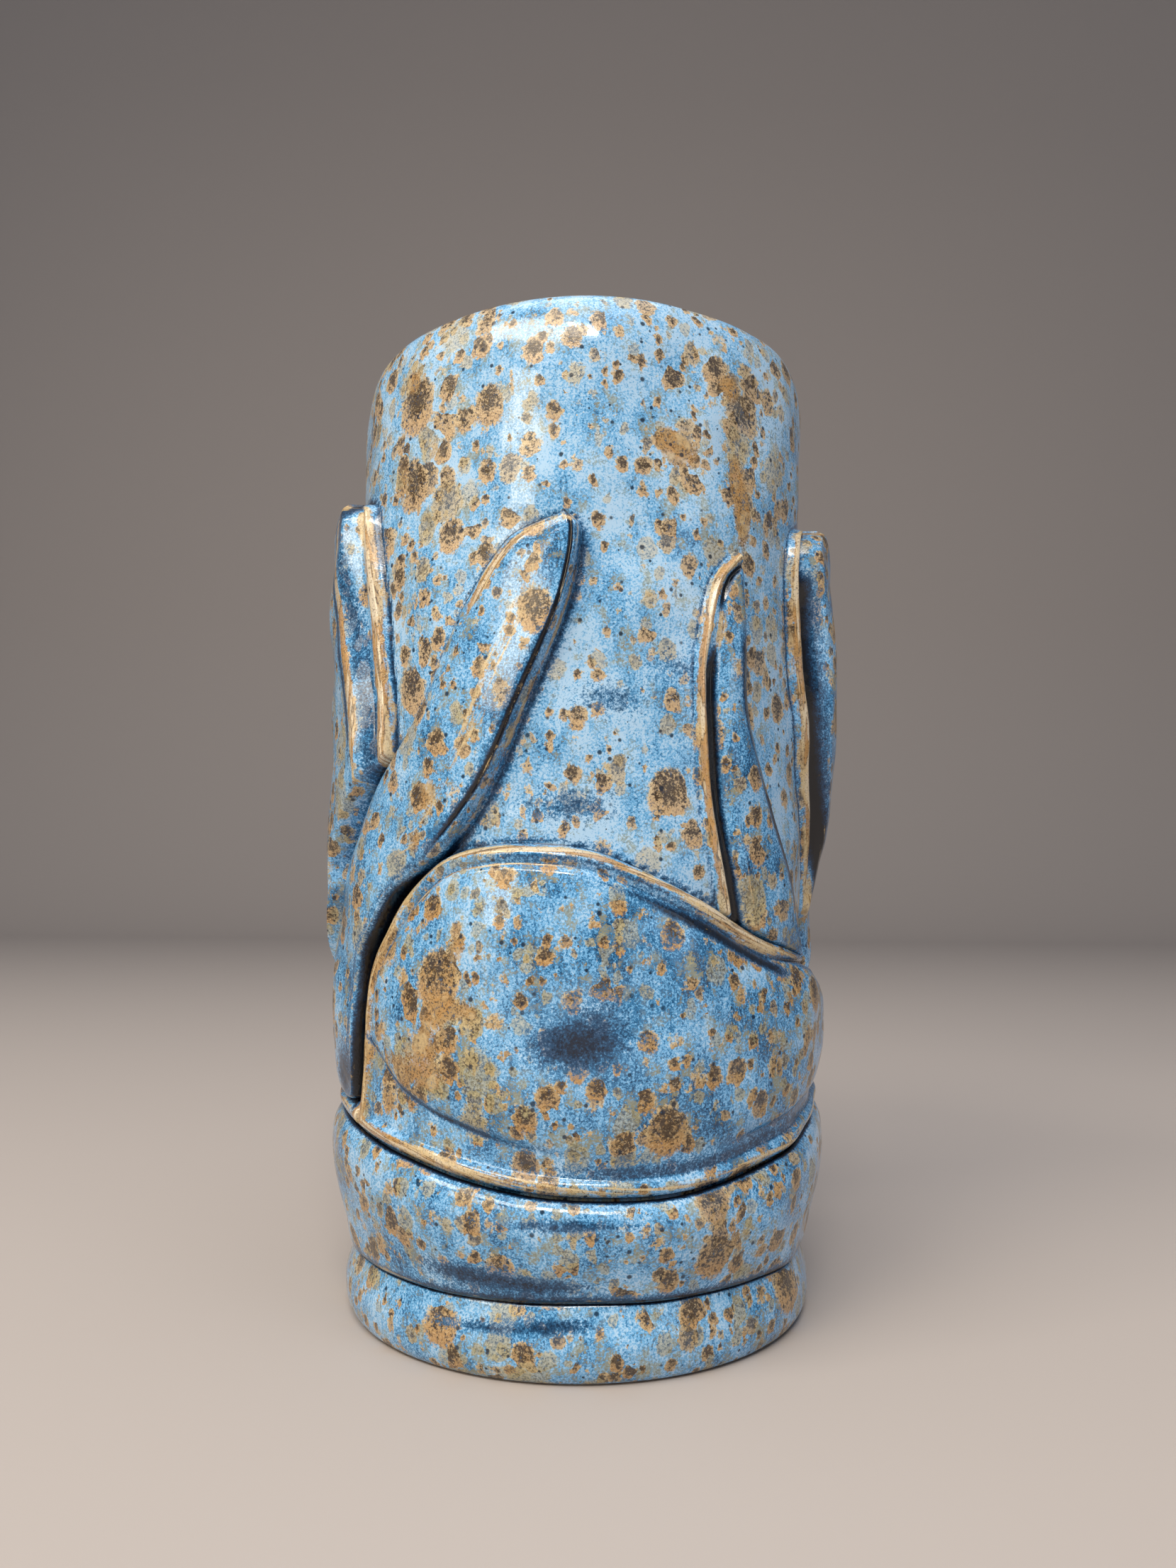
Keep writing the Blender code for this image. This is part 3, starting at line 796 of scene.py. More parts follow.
    def own_masks(self, azimuth: Array, height: Array) -> dict[Mask, Array]:
        """Return what the petal adds to the glaze masks.

        The glaze thins on the lip, most at the left end, along the foot and where the arch comes down
        at the right, and it pools behind the lip: above the foot's lip right of the middle, and
        under the arch at the right. It pools in the hem's crease too. A thin line just inside the arch,
        between the left end and the middle, is a painted highlight on the belly's shoulder.

        Args:
            azimuth: Azimuths on the piece's own side.
            height: Heights, of the same shape.

        Returns:
            The masks' values.
        """
        from_bottom, from_top, _ = self.measure(azimuth, height)
        masks = {mask: np.zeros(azimuth.shape) for mask in (Mask.CREST, Mask.POOL, Mask.OCHRE)}
        for stroke in self.strokes:
            distance = from_top if stroke.from_arch else from_bottom
            strength = stroke.strength * bell(distance, stroke.centre, stroke.width)
            for fade in stroke.fades:
                strength = strength * smooth_step(azimuth, *fade)
            masks[stroke.mask] += strength
        in_hem = bell(self.below_lift(azimuth, from_bottom), 7.4, 0.9)
        masks[Mask.POOL] += 0.5 * in_hem * self.fold(azimuth)
        return masks

    def patch(self) -> tuple[Array, Array]:
        """Return the azimuths and heights of a grid that covers the petal and a margin round it.

        Returns:
            The azimuths and the heights, column by column.
        """
        line_azimuth, line_height = self.top_line
        reach = self.margin * PATCH_REACH / WALL.degree
        low, high = line_azimuth[0] - reach, line_azimuth[-1] + reach
        place = np.linspace(0.0, 1.0, int((high - low) * WALL.degree / self.step))
        azimuth = low + (high - low) * (place - 0.3 * np.sin(np.pi * place) / np.pi)
        bottom = WALL.belt_top(azimuth) - self.margin * 0.5
        near = self.margin**2 - ((azimuth[:, None] - line_azimuth) * WALL.degree) ** 2
        grow = np.sqrt(np.clip(near, 0.0, None))
        top = np.where(near >= 0, line_height + grow, 0.0).max(axis=1)
        share = ease_ends(np.linspace(0.0, 1.0, self.columns), 0.45)
        height = bottom[:, None] + (top - bottom)[:, None] * share
        return np.broadcast_to(azimuth[:, None], height.shape)[:, ::-1], height[:, ::-1]


KEELED = Leaf(
    name="keeled_leaf",
    base=60.0,
    tip=167.4,
    rows=(
        (0.00, -83.5, -66.0, -60.0, 0.77), (0.08, -86.0, -64.0, -58.0, 0.83),
        (0.20, -87.5, -60.0, -53.0, 0.88), (0.37, -89.5, -56.0, -48.6, 0.90),
        (0.50, -93.5, -55.8, -48.2, 0.90), (0.62, -94.5, -58.8, -49.4, 0.91),
        (0.72, -94.0, -62.8, -51.4, 0.95), (0.82, -92.0, -65.6, -53.8, 1.00),
        (0.90, -88.5, -67.2, -56.2, 1.00), (0.95, -84.0, -67.6, -57.6, 1.00),
        (0.985, -78.5, -67.6, -59.4, 0.88), (1.00, -74.0, -67.2, -61.4, 0.62),
    ),
    left_slope=((0.0, 0.9), (0.08, 3.4), (0.3, 6.2), (0.5, 7.0), (1.0, 7.0)),
    right_slope=((0.0, 1.2), (0.1, 2.4), (0.28, 3.0), (0.42, 2.7), (0.52, 2.7), (1.0, 7.0)),
    scores=(
        Score(Line.CROWN, 2.6, 2.0, pool=0.42, start=0.3, end=0.97),
        # Painted highlight, partly glaze thinning on the crown: a cream line along the crown on the upper
        # half.
        Score(Line.CROWN, -0.2, 1.0, crest=1.45, start=0.5, end=0.96),
        Score(Line.CROWN, -2.4, 1.0, pool=0.6, start=0.5, end=0.97),
        # Painted highlight, partly glaze thinning: a thin light line along the crown lower down.
        Score(Line.CROWN, -0.4, 0.5, crest=0.5, start=0.3, end=0.5),
        # A cream band along the right ridge: glaze thinning there, brightened further as a painted highlight.
        Score(Line.RIGHT, 1.6, 1.3, crest=1.1, start=0.2, end=0.97),
        Score(Line.RIGHT, -0.1, 0.4, pool=0.4, start=0.3, end=0.97),
        Score(Line.CROWN, 1.5, 3.0, pool=0.9, start=0.97, end=1.1),
    ),
)

CROSSING = Leaf(
    name="crossing_leaf",
    base=44.6,
    tip=156.2,
    rows=(
        (0.00, -92.0, -62.0, -57.0, 0.70), (0.02, -94.5, -58.2, -56.4, 0.90),
        (0.08, -92.8, -57.5, -55.9, 1.00), (0.19, -84.0, -56.5, -54.9, 1.02),
        (0.25, -79.8, -54.9, -53.3, 1.00), (0.31, -75.8, -49.8, -48.3, 1.00),
        (0.37, -71.9, -43.9, -42.2, 1.00), (0.43, -70.2, -33.4, -29.4, 1.02),
        (0.53, -59.6, -22.6, -20.2, 1.00), (0.61, -48.0, -17.0, -15.0, 1.00),
        (0.68, -38.9, -13.4, -11.4, 1.00), (0.77, -32.2, -8.6, -6.5, 1.00), (0.85, -27.2, -4.7, -2.5, 1.00),
        (0.92, -21.6, -2.7, -0.5, 0.95), (0.97, -15.4, -2.3, 0.0, 0.82), (1.00, -7.4, -3.4, -1.3, 0.60),
    ),
    left_slope=((0.0, 0.9), (0.07, 1.9), (0.25, 3.4), (0.6, 4.3), (1.0, 4.8)),
    right_slope=((0.0, 0.9), (0.25, 2.8), (0.6, 4.2), (1.0, 4.8)),
    edge_round=1.2,
    tip_round=3.2,
    blend=1.3,
    scores=(
        Score(Line.CROWN, 0.2, 0.4, depth=0.3, pool=1.4, start=0.46),
        Score(Line.CROWN, -0.8, 0.8, pool=0.35, start=0.1, end=0.8),
        Score(Line.RIGHT, 0.3, 0.2, crest=0.6, start=0.46, end=0.9),
        Score(Line.RIGHT, -0.6, 0.4, pool=0.6, start=0.46),
        Score(Line.LEFT, 0.6, 0.5, crest=0.6, start=0.16, end=0.46),
        Score(Line.LEFT, -0.1, 0.8, pool=1.6, start=0.84, end=1.02),
        # Painted highlight, partly glaze thinning: a cream crescent inside the tip's upper left edge.
        Score(Line.LEFT, 2.4, 1.1, crest=1.3, start=0.84, end=0.96),
        # Painted highlight: a soft cream band down the leaf's face, where the lamps' reflection falls.
        Score(Line.RIGHT, 7.6, 2.6, crest=0.47, start=0.42, end=0.93),
        Score(Line.RIGHT, 0.15, 0.55, pool=1.3, end=0.44),
        Score(Line.CROWN, -3.0, 5.0, pool=0.8, end=0.09),
    ),
)

CURLED = Leaf(
    name="curled_leaf",
    base=70.0,
    tip=151.8,
    rows=(
        (0.00, 37.2, 56.0, 66.0, 1.00), (0.16, 33.2, 51.0, 60.4, 1.00), (0.28, 29.8, 46.6, 55.2, 1.00),
        (0.40, 27.9, 42.2, 49.2, 1.00), (0.52, 26.7, 38.2, 43.9, 1.00), (0.64, 25.9, 35.4, 40.4, 1.00),
        (0.75, 26.2, 34.3, 39.4, 1.00), (0.86, 28.2, 34.4, 39.2, 0.95), (0.93, 30.8, 35.3, 39.0, 0.90),
        (0.98, 35.0, 37.4, 39.2, 0.75), (1.00, 36.8, 37.9, 38.9, 0.50),
    ),
    curl=(
        (0.0, 0.9), (0.3, 1.9), (0.7, 2.4), (1.3, 2.0), (1.8, 0.9), (2.2, 0.4), (3.4, 0.4), (4.2, 1.9),
        (5.8, 2.8), (9.0, 3.4),
    ),
    curl_closed=((0.0, 0.9), (0.4, 2.0), (0.9, 2.5), (2.0, 2.4), (4.0, 2.3), (8.0, 2.6)),
    closing=(0.70, 0.82),
    right_slope=((0.0, 1.3), (0.2, 2.0), (0.6, 3.0), (1.0, 3.4)),
    edge_round=0.8,
    softness=0.035,
    columns=(10, 60, 26),
    scores=(
        Score(Line.LEFT, 0.55, 0.5, crest=1.0),
        Score(Line.LEFT, 1.25, 0.25, crest=0.6, start=0.2),
        # The slit under the curled edge: glaze that gathers there, darkened to near black as painted shade.
        Score(Line.LEFT, 3.0, 0.8, pool=1.4, start=0.02, end=0.74),
        Score(Line.LEFT, -0.5, 0.3, pool=0.2),
        Score(Line.LEFT, 6.0, 0.4, depth=-0.2, crest=0.4, end=0.34),
        Score(Line.RIGHT, 0.35, 0.4, crest=0.6, start=0.4, end=0.86),
        # Painted shade: a dark blue band inside the right edge, on the lower part of the leaf.
        Score(Line.RIGHT, 1.7, 1.5, pool=0.8, start=0.1, end=0.8),
        Score(Line.LEFT, 3.4, 1.3, crest=0.8, start=0.76, end=0.84),
        Score(Line.LEFT, 2.7, 0.7, depth=1.0, pool=1.2, start=0.86, end=0.99),
    ),
)

CUPPED = Leaf(
    name="cupped_leaf",
    base=80.0,
    tip=163.6,
    rows=(
        (0.00, 85.0, 88.5, 92.0, 0.16), (0.08, 82.5, 88.0, 93.5, 0.34), (0.15, 78.8, 87.0, 94.5, 0.50),
        (0.22, 75.2, 86.0, 95.5, 0.70), (0.33, 70.4, 84.0, 96.5, 0.89), (0.49, 64.6, 80.0, 94.0, 0.97),
        (0.68, 61.4, 77.6, 91.5, 0.93), (0.85, 60.0, 75.6, 89.0, 0.86), (0.94, 61.8, 75.2, 86.0, 0.78),
        (0.985, 66.0, 75.0, 82.5, 0.66), (1.00, 69.0, 75.0, 79.6, 0.50),
    ),
    left_slope=(
        (0.0, 0.9), (0.05, 2.1), (0.11, 2.8), (0.17, 2.8), (0.25, 1.4), (0.36, 1.3), (0.46, 4.4),
        (0.62, 7.3), (1.0, 8.4),
    ),
    right_slope=((0.0, 0.9), (0.1, 3.4), (0.4, 6.8), (0.7, 8.0), (1.0, 8.4)),
    softness=0.04,
    columns=(10, 56, 30),
    scores=(
        Score(Line.LEFT, 1.3, 1.1, crest=0.85),
        Score(Line.LEFT, 4.3, 1.3, pool=1.5, start=0.05, end=0.84),
        Score(Line.LEFT, -0.4, 0.35, pool=0.5, start=0.1, end=0.95),
        Score(Line.LEFT, 6.6, 1.4, pool=0.35, start=0.1, end=0.82),
    ),
)

PETAL = BudPetal(
    name="bud_petal",
    slot=Slot.PETAL,
    fillet=0.6,
    arch=(
        (-56.2, 0.06), (-55.6, 0.2), (-55.0, 0.34), (-54.75, 0.418), (-54.3, 0.484), (-53.2, 0.55),
        (-51.3, 0.616), (-48.2, 0.693), (-42.0, 0.828), (-33.6, 0.928), (-26.6, 0.976), (-18.0, 0.998),
        (-9.0, 1.0), (2.0, 0.985), (12.4, 0.935), (28.0, 0.835), (46.0, 0.70), (67.0, 0.59), (90.0, 0.457),
        (110.0, 0.365), (123.6, 0.297),
    ),
)

KEELED.trims = [Trim(CROSSING, Side.FRONT, start=-0.9), Trim(CUPPED, Side.BACK), Trim(PETAL, Side.BACK)]
CUPPED.trims = [Trim(PETAL, Side.FRONT), Trim(CROSSING, Side.BACK)]
CURLED.trims = [Trim(PETAL, Side.FRONT)]
PETAL.trims = [Trim(CROSSING, Side.BACK)]
CROSSING.trims = [Trim(PETAL, Side.FRONT, start=-0.7, end=0.3)]
LAYERS: tuple[Relief, ...] = (KEELED, CUPPED, CURLED, PETAL, CROSSING)


def laid_relief(azimuth: Array, height: Array, layers: tuple[Relief, ...]) -> Array:
    """Lay pieces on the wall in their order, both sides of each, every one joined with its fillet.

    Args:
        azimuth: Azimuths.
        height: Heights, of the same shape.
        layers: The kinds of piece to lay, lowest first.

    Returns:
        The relief of the topmost surface.
    """
    total = np.zeros(azimuth.shape)
    for piece in layers:
        for side in Side:
            total = smooth_max(piece.relief(azimuth, height, side), total, piece.fillet)
    return total


# Patches lay thick glaze and crystals, and in a few places painted dark reflection.
@dataclass(frozen=True)
class Pool:
    """A listed patch of glaze: a soft ellipse at an azimuth and a height."""

    azimuth: float
    height: float
    width: float
    rise: float
    strength: float

    def strengths(self, azimuth: Array, height: Array) -> Array:
        """Return the patch's strength at the points: exp(-(dx/width)^2 - (dz/rise)^2)."""
        across = wrap(azimuth - self.azimuth) * WALL.degree / self.width
        return self.strength * np.exp(-(across**2) - ((height - self.height) / self.rise) ** 2)


def pools(*rows: Point) -> tuple[Pool, ...]:
    """Return a patch for each row of azimuth, height, width, rise and strength."""
    return tuple(Pool(*row) for row in rows)


# Patches for the pool mask. Some are where the glaze lies thick; the strong ones near azimuth 0, on the
# petal's belly and on the wall above it, are painted dark reflection on the surfaces that face the camera.
THICK_GLAZE_AND_DARK_REFLECTION_PATCHES = pools(
    (0, 59.5, 8, 4.5, 1.15), (6, 66, 9, 5, 0.45), (16, 77, 9, 4, 0.35), (-24, 19, 9, 2.2, 0.55),
    (-8, 17.5, 10, 1.8, 0.55), (-4, 10.6, 8, 1.3, 0.55), (-20, 9.5, 10, 1, 0.45), (-2, 28.8, 12, 1.2, 0.5),
    (-52, 176, 11, 18, 0.13), (52, 172, 10, 20, 0.17), (-2, 102, 9, 3.2, 0.8), (7, 122, 7, 3.2, 0.7),
    (-41, 104, 2.5, 9, 0.6), (-64, 78, 6, 18, 0.3), (22, 128, 5, 3, 0.6),
)
OCHRE_PATCHES = pools(
    (0, 150, 14, 34, -0.35), (8, 112, 12, 16, -0.3), (4, 60, 9, 6, -0.5), (-44, 176, 8, 22, 0.35),
    (44, 176, 10, 24, 0.4), (23.5, 168.5, 6, 5, 1), (19, 172, 4, 3.5, 0.8), (36, 184, 3.6, 4, 0.9),
    (40, 158, 2.6, 8, 1), (38, 166, 2.2, 6, 0.8), (-45, 188, 3.2, 3.4, 0.9), (-37, 172, 2.6, 4, 0.7),
    (-48, 168, 3, 8, 0.6), (-32.5, 104, 3.2, 6, 1), (-35.5, 95, 2.4, 3.6, 0.9), (-24, 76, 2.6, 4, 1),
    (-27, 66, 3.6, 4, 0.9), (-31, 59, 5, 7, 0.9), (-20.5, 65, 3, 3, 0.8), (-30, 52, 6, 3, 0.7),
    (-41, 55, 6, 4.5, 0.75), (-46, 150, 5, 10, 0.4), (-30, 186, 6, 6, 0.4), (-22, 88, 3.4, 3, 0.6),
    (45, 56, 3, 8, 0.8), (55, 60, 3, 10, 0.7), (-47, 22, 4, 5, 0.8), (33, 25, 4, 3.4, 0.8),
    (44, 20, 5, 3, 0.7), (26, 9.8, 4, 2.4, 0.8), (42, 6, 5, 2.6, 0.6), (-12, 2.8, 8, 1.4, 0.8),
    (14, 2.6, 5, 1.4, 0.7), (-60, 120, 3, 5, 0.6), (40, 84, 2.4, 6, 0.6), (-3, 44, 3, 2.2, 0.5),
)


@dataclass
class GlazeMap:
    """Where the glaze thins and where it gathers, worked out from the whole outer surface.

    The outer radius is laid out on a grid, and subtracting its local mean leaves what stands proud,
    where glaze runs off, and what lies low, where it pools. Half a turn holds it all.
    """

    cell: float = 0.34
    fine: float = 0.8
    broad: float = 2.6

    @cached_property
    def grid(self) -> tuple[Array, Array]:
        """Return the map's azimuths and heights.

        Returns:
            The azimuths and the heights, row by row.
        """
        columns = int(HALF_TURN * WALL.degree / self.cell)
        azimuth = np.arange(columns) * HALF_TURN / columns
        height = np.arange(0.0, WALL.top, self.cell)
        return np.meshgrid(azimuth, height)

    def blur(self, values: Array, width: float) -> Array:
        """Return the local mean under a bell of the given width, periodic across.

        Args:
            values: The map to blur.
            width: The bell's width, in millimetres.

        Returns:
            The blurred map.
        """
        reach = int(3 * width / self.cell)
        taps = np.exp(-0.5 * (np.arange(-reach, reach + 1) * self.cell / width) ** 2)
        taps /= taps.sum()
        across = sum(w * np.roll(values, k, axis=1) for k, w in zip(range(-reach, reach + 1), taps))
        padded = np.pad(across, ((reach, reach), (0, 0)), mode="edge")
        return sum(w * padded[k : k + len(values)] for k, w in enumerate(taps))

    @cached_property
    def proud(self) -> tuple[Array, Array]:
        """Return how far the surface stands proud of its fine and of its broad local mean.

        Returns:
            The fine map and the broad map, in millimetres.
        """
        azimuth, height = self.grid
        radius = WALL.outer(height) + laid_relief(azimuth, height, LAYERS)
        radius = np.where(height < WALL.belt_top(azimuth), BELT.outer(azimuth, height), radius)
        radius = np.where(height < WALL.foot_height, FOOT.outer(height), radius)
        return radius - self.blur(radius, self.fine), radius - self.blur(radius, self.broad)

    def read(self, values: Array, azimuth: Array, height: Array) -> Array:
        """Return a map's values at places, on straight lines between its cells.

        Args:
            values: The map.
            azimuth: Azimuths.
            height: Heights, of the same shape.

        Returns:
            The map's values there.
        """
        column = (azimuth % HALF_TURN) / HALF_TURN * values.shape[1]
        row = np.clip(height / self.cell, 0, len(values) - 1.001)
        left, low = column.astype(int), row.astype(int)
        across, up = column - left, row - low
        left, right = left % values.shape[1], (left + 1) % values.shape[1]
        lower = values[low, left] * (1 - across) + values[low, right] * across
        upper = values[low + 1, left] * (1 - across) + values[low + 1, right] * across
        return lower * (1 - up) + upper * up

    def masks(self, azimuth: Array, height: Array) -> dict[Mask, Array]:
        """Return the glaze masks that the form and the listed patches give.

        Args:
            azimuth: Azimuths.
            height: Heights, of the same shape.

        Returns:
            Each mask's values, roughly from 0 to 1.
        """
        fine, broad = (self.read(values, azimuth, height) for values in self.proud)
        crest = 0.75 * smooth_step(fine, 0.05, 0.5) + 0.35 * smooth_step(broad, 0.3, 1.5)
        pool = 0.6 * smooth_step(-fine, 0.06, 0.5) + 0.55 * smooth_step(-broad, 0.25, 1.4)
        # The pool mask takes the thick glaze patches, and with them the painted dark reflection near azimuth
        # 0.
        patches = sum(patch.strengths(azimuth, height) for patch in THICK_GLAZE_AND_DARK_REFLECTION_PATCHES)
        ochre = sum(patch.strengths(azimuth, height) for patch in OCHRE_PATCHES)
        return {Mask.CREST: crest, Mask.POOL: pool + patches, Mask.OCHRE: ochre}


def add_object(name: str, data: bpy.types.ID) -> bpy.types.Object:
    """Make an object for a mesh, a lamp or a camera and link it to the scene."""
    obj = bpy.data.objects.new(name, data)
    bpy.context.scene.collection.objects.link(obj)
    return obj


def put_mesh(name: str, rings: Array, masks: dict[Mask, Array], closed: bool) -> bpy.types.Object:
    """Make a closed mesh from rings of points, one after another.

    Its faces are turned outwards: the volume is the sum of a . (b x c) over the triangles, and the
    corners change order where it is negative.

    Args:
        name: The object's name.
        rings: Points in millimetres: ring, place on the ring, and x, y, z.
        masks: Glaze masks of the same first two dimensions.
        closed: Whether the last ring joins the first. If not, a fan closes each end.

    Returns:
        The object, linked to the scene.
    """
    count, width = rings.shape[:2]
    number = np.arange(count * width).reshape(count, width)
    ahead = np.roll(number, -1, axis=0) if closed else number[1:]
    here = number if closed else number[:-1]
    faces = np.stack([here, np.roll(here, -1, 1), np.roll(ahead, -1, 1), ahead], axis=-1).reshape(-1, 4)
    triangles = np.concatenate([faces[:, [0, 1, 2]], faces[:, [0, 2, 3]]])
    points = rings.reshape(-1, 3)
    values = {mask: value.reshape(-1) for mask, value in masks.items()}
    if not closed:
        points = np.concatenate([points, rings[:1].mean(1), rings[-1:].mean(1)])
        values = {mask: np.concatenate([value, value[:1], value[-1:]]) for mask, value in values.items()}
        first, last = number[0], number[-1]
        start = np.stack([np.roll(first, -1), first, np.full(width, count * width)], axis=-1)
        end = np.stack([last, np.roll(last, -1), np.full(width, count * width + 1)], axis=-1)
        triangles = np.concatenate([triangles, start, end])
    corners = points[triangles]
    volume = np.einsum("ij,ij->i", corners[:, 0], np.cross(corners[:, 1], corners[:, 2])).sum()
    if volume < 0:
        triangles = triangles[:, ::-1]
    mesh = bpy.data.meshes.new(name)
    mesh.vertices.add(len(points))
    mesh.vertices.foreach_set("co", (HAND.shape(points) * MM).astype(np.float32).ravel())
    mesh.loops.add(triangles.size)
    mesh.loops.foreach_set("vertex_index", triangles.astype(np.int32).ravel())
    mesh.polygons.add(len(triangles))
    mesh.polygons.foreach_set("loop_start", np.arange(0, triangles.size, 3, dtype=np.int32))
    mesh.update(calc_edges=True)
    for mask in Mask:
        attribute = mesh.attributes.new(mask.value, "FLOAT", "POINT")
        value = values.get(mask, np.zeros(len(points)))
        attribute.data.foreach_set("value", np.clip(value, *mask.limits).astype(np.float32))
    mesh.validate()
    mesh.shade_smooth()
    return add_object(name, mesh)


def around(azimuth: Array, radius: Array, height: Array) -> Array:
    """Return points in space, in millimetres, at azimuths, radii and heights."""
    angle = np.radians(azimuth)
    return np.stack([radius * np.sin(angle), -radius * np.cos(angle), height + 0 * radius], axis=-1)


@dataclass
class Turned:
    """A piece that goes all the way round: a section swept about the axis.

    Steps are the places round the axis, and the count is the points round the section.
    """

    steps: int
    count: int

    def section(self, azimuth: Array) -> Array:
        """Return radius and height round the section, at each azimuth: azimuth, place, two values."""
        raise NotImplementedError

    def resample(self, section: Array, count: int) -> Array:
        """Return a section's points at equal lengths along it, judged on its first azimuth.

        Args:
            section: Azimuth, place on the section, and two values.
            count: How many points to return.

        Returns:
            The section with so many places.
        """
        run = np.linalg.norm(np.diff(section[0], axis=0), axis=1)
        length = np.concatenate([[0.0], np.cumsum(run)])
        place = np.interp(np.linspace(0, length[-1], count), length, np.arange(len(length)))
        first = np.minimum(place.astype(int), len(length) - 2)
        share = (place - first)[None, :, None]
        return section[:, first] * (1 - share) + section[:, first + 1] * share

    def own_pool(self, azimuth: Array, height: Array) -> Array:
        """Return where the glaze gathers on this piece and its painted shade, besides where the form makes
        it.
        """
        return np.zeros(height.shape)

    def sweep(self, glaze: GlazeMap, name: str) -> bpy.types.Object:
        """Make the swept mesh with its glaze masks.

        Args:
            glaze: The glaze map.
            name: The object's name.

        Returns:
            The object.
        """
        azimuth = np.arange(self.steps) * FULL_TURN / self.steps
        section = self.section(azimuth)
        spot = np.broadcast_to(azimuth[:, None], section.shape[:2])
        radius, height = section[..., 0], section[..., 1]
        masks = glaze.masks(spot, height)
        masks[Mask.BARE] = 1.0 - smooth_step(height, 0.15, 0.5)
        masks[Mask.POOL] = masks[Mask.POOL] + self.own_pool(spot, height)
        return put_mesh(name, around(spot, radius, height), masks, closed=True)


@dataclass
class Belt(Turned):
    """The belt above the foot: a band that swells upwards, with a rolled, waving top edge.

    The bulge gives the share of the swell at shares of the belt's height. The profile is the same
    curve as the section runs down it: share of the swell, and share of the height below the top.
    """

    steps: int = 380
    count: int = 120
    neck: float = 47.3
    swell: float = 5.3
    roll: float = 2.4
    bulge: tuple[Point, ...] = (
        (0.0, 0.05), (0.2, 0.42), (0.42, 0.72), (0.65, 0.95), (0.76, 1.0), (0.88, 0.92), (0.97, 0.72),
        (1.0, 0.5),
    )
    profile: tuple[Point, ...] = (
        (0.76, 0.03), (0.93, 0.11), (1.0, 0.24), (0.94, 0.38), (0.74, 0.58), (0.46, 0.79),
    )

    def outer(self, azimuth: Array, height: Array) -> Array:
        """Return the belt's outer radius."""
        share = (height - WALL.foot_height) / (WALL.belt_top(azimuth) - WALL.foot_height)
        return self.neck + self.swell * soft_table(share, self.bulge, 0.04)

    def section(self, azimuth: Array) -> Array:
        """Return the belt's section: up the hidden inside, over the roll and down the bulge.

        Args:
            azimuth: The azimuths.

        Returns:
            Azimuth, place on the section, and radius and height.
        """
        top = WALL.belt_top(azimuth) - 0.25
        low = WALL.foot_height
        inner = WALL.radius - WALL.base_taper
        rows = [
            (inner, low + 4.0),
            (WALL.outer(top - 4.0) - 0.3, top - 4.0),
            (WALL.outer(top - 1.2) - 0.2, top - 1.2),
            (WALL.outer(top) + 0.9, top - 0.25),
            (self.neck + self.swell - self.roll, top + 0.15),
            *((self.neck + self.swell * share, top - drop * (top - low)) for share, drop in self.profile),
            (self.neck + self.swell * 0.22, low + 0.7),
            (self.neck + 0.1, low - 0.5),
            (self.neck - 0.9, low - 0.7),
            (inner + 0.1, low + 0.4),
        ]
        spots = [[np.broadcast_to(value, azimuth.shape) for value in row] for row in rows]
        curve = catmull_rom(np.array([*spots, spots[0]]), SECTION_ROWS)
        return self.resample(np.moveaxis(curve, -1, 0), self.count + 1)[:, :-1]

    def own_pool(self, azimuth: Array, height: Array) -> Array:
        """Return the dark bands under the rolled top edge and in the fold above the foot: glaze that gathers
        there, darkened further as painted shade.
        """
        below_top = WALL.belt_top(azimuth) - height
        return 0.75 * bell(below_top, -0.3, 0.7) + 0.6 * bell(height, WALL.foot_height, 1.3)


@dataclass
class Foot(Turned):
    """The flared foot ring, with a round edge and a flat, unglazed resting face.

    Rows are radius and height round its section: up the hidden inside, over the top, down the flare,
    in along the resting face and back up. The face is the range of rows that shows from outside.
    """

    steps: int = 360
    count: int = 96
    rows: tuple[Point, ...] = (
        (45.7, 8.0), (45.8, 12.6), (46.3, 13.9), (47.2, 13.7), (47.8, 12.2), (48.5, 10.0), (49.1, 7.8),
        (49.2, 5.6), (48.9, 3.2), (47.9, 1.1), (46.7, 0.2), (45.4, 0.0), (43.0, 0.0), (39.0, 0.0),
        (37.2, 0.0), (36.3, 0.7), (36.2, 2.3), (37.4, 2.85), (43.0, 2.9), (45.0, 4.2),
    )
    face: tuple[int, int] = (2, 11)

    def outer(self, height: Array) -> Array:
        """Return the foot's outer radius."""
        shown = sorted((level, radius) for radius, level in self.rows[slice(*self.face)])
        return np.interp(height, *zip(*shown))

    def section(self, azimuth: Array) -> Array:
        """Return the foot's section, the same at every azimuth and nowhere below the resting face.

        Args:
            azimuth: The azimuths.

        Returns:
            Azimuth, place on the section, and radius and height.
        """
        curve = catmull_rom(np.array([*self.rows, self.rows[0]]), SECTION_ROWS)
        curve[:, 1] = np.maximum(curve[:, 1], 0.0)
        curve = self.resample(curve[None], self.count + 1)[:, :-1]
        return np.broadcast_to(curve, (len(azimuth), self.count, 2))


BELT = Belt()
FOOT = Foot()


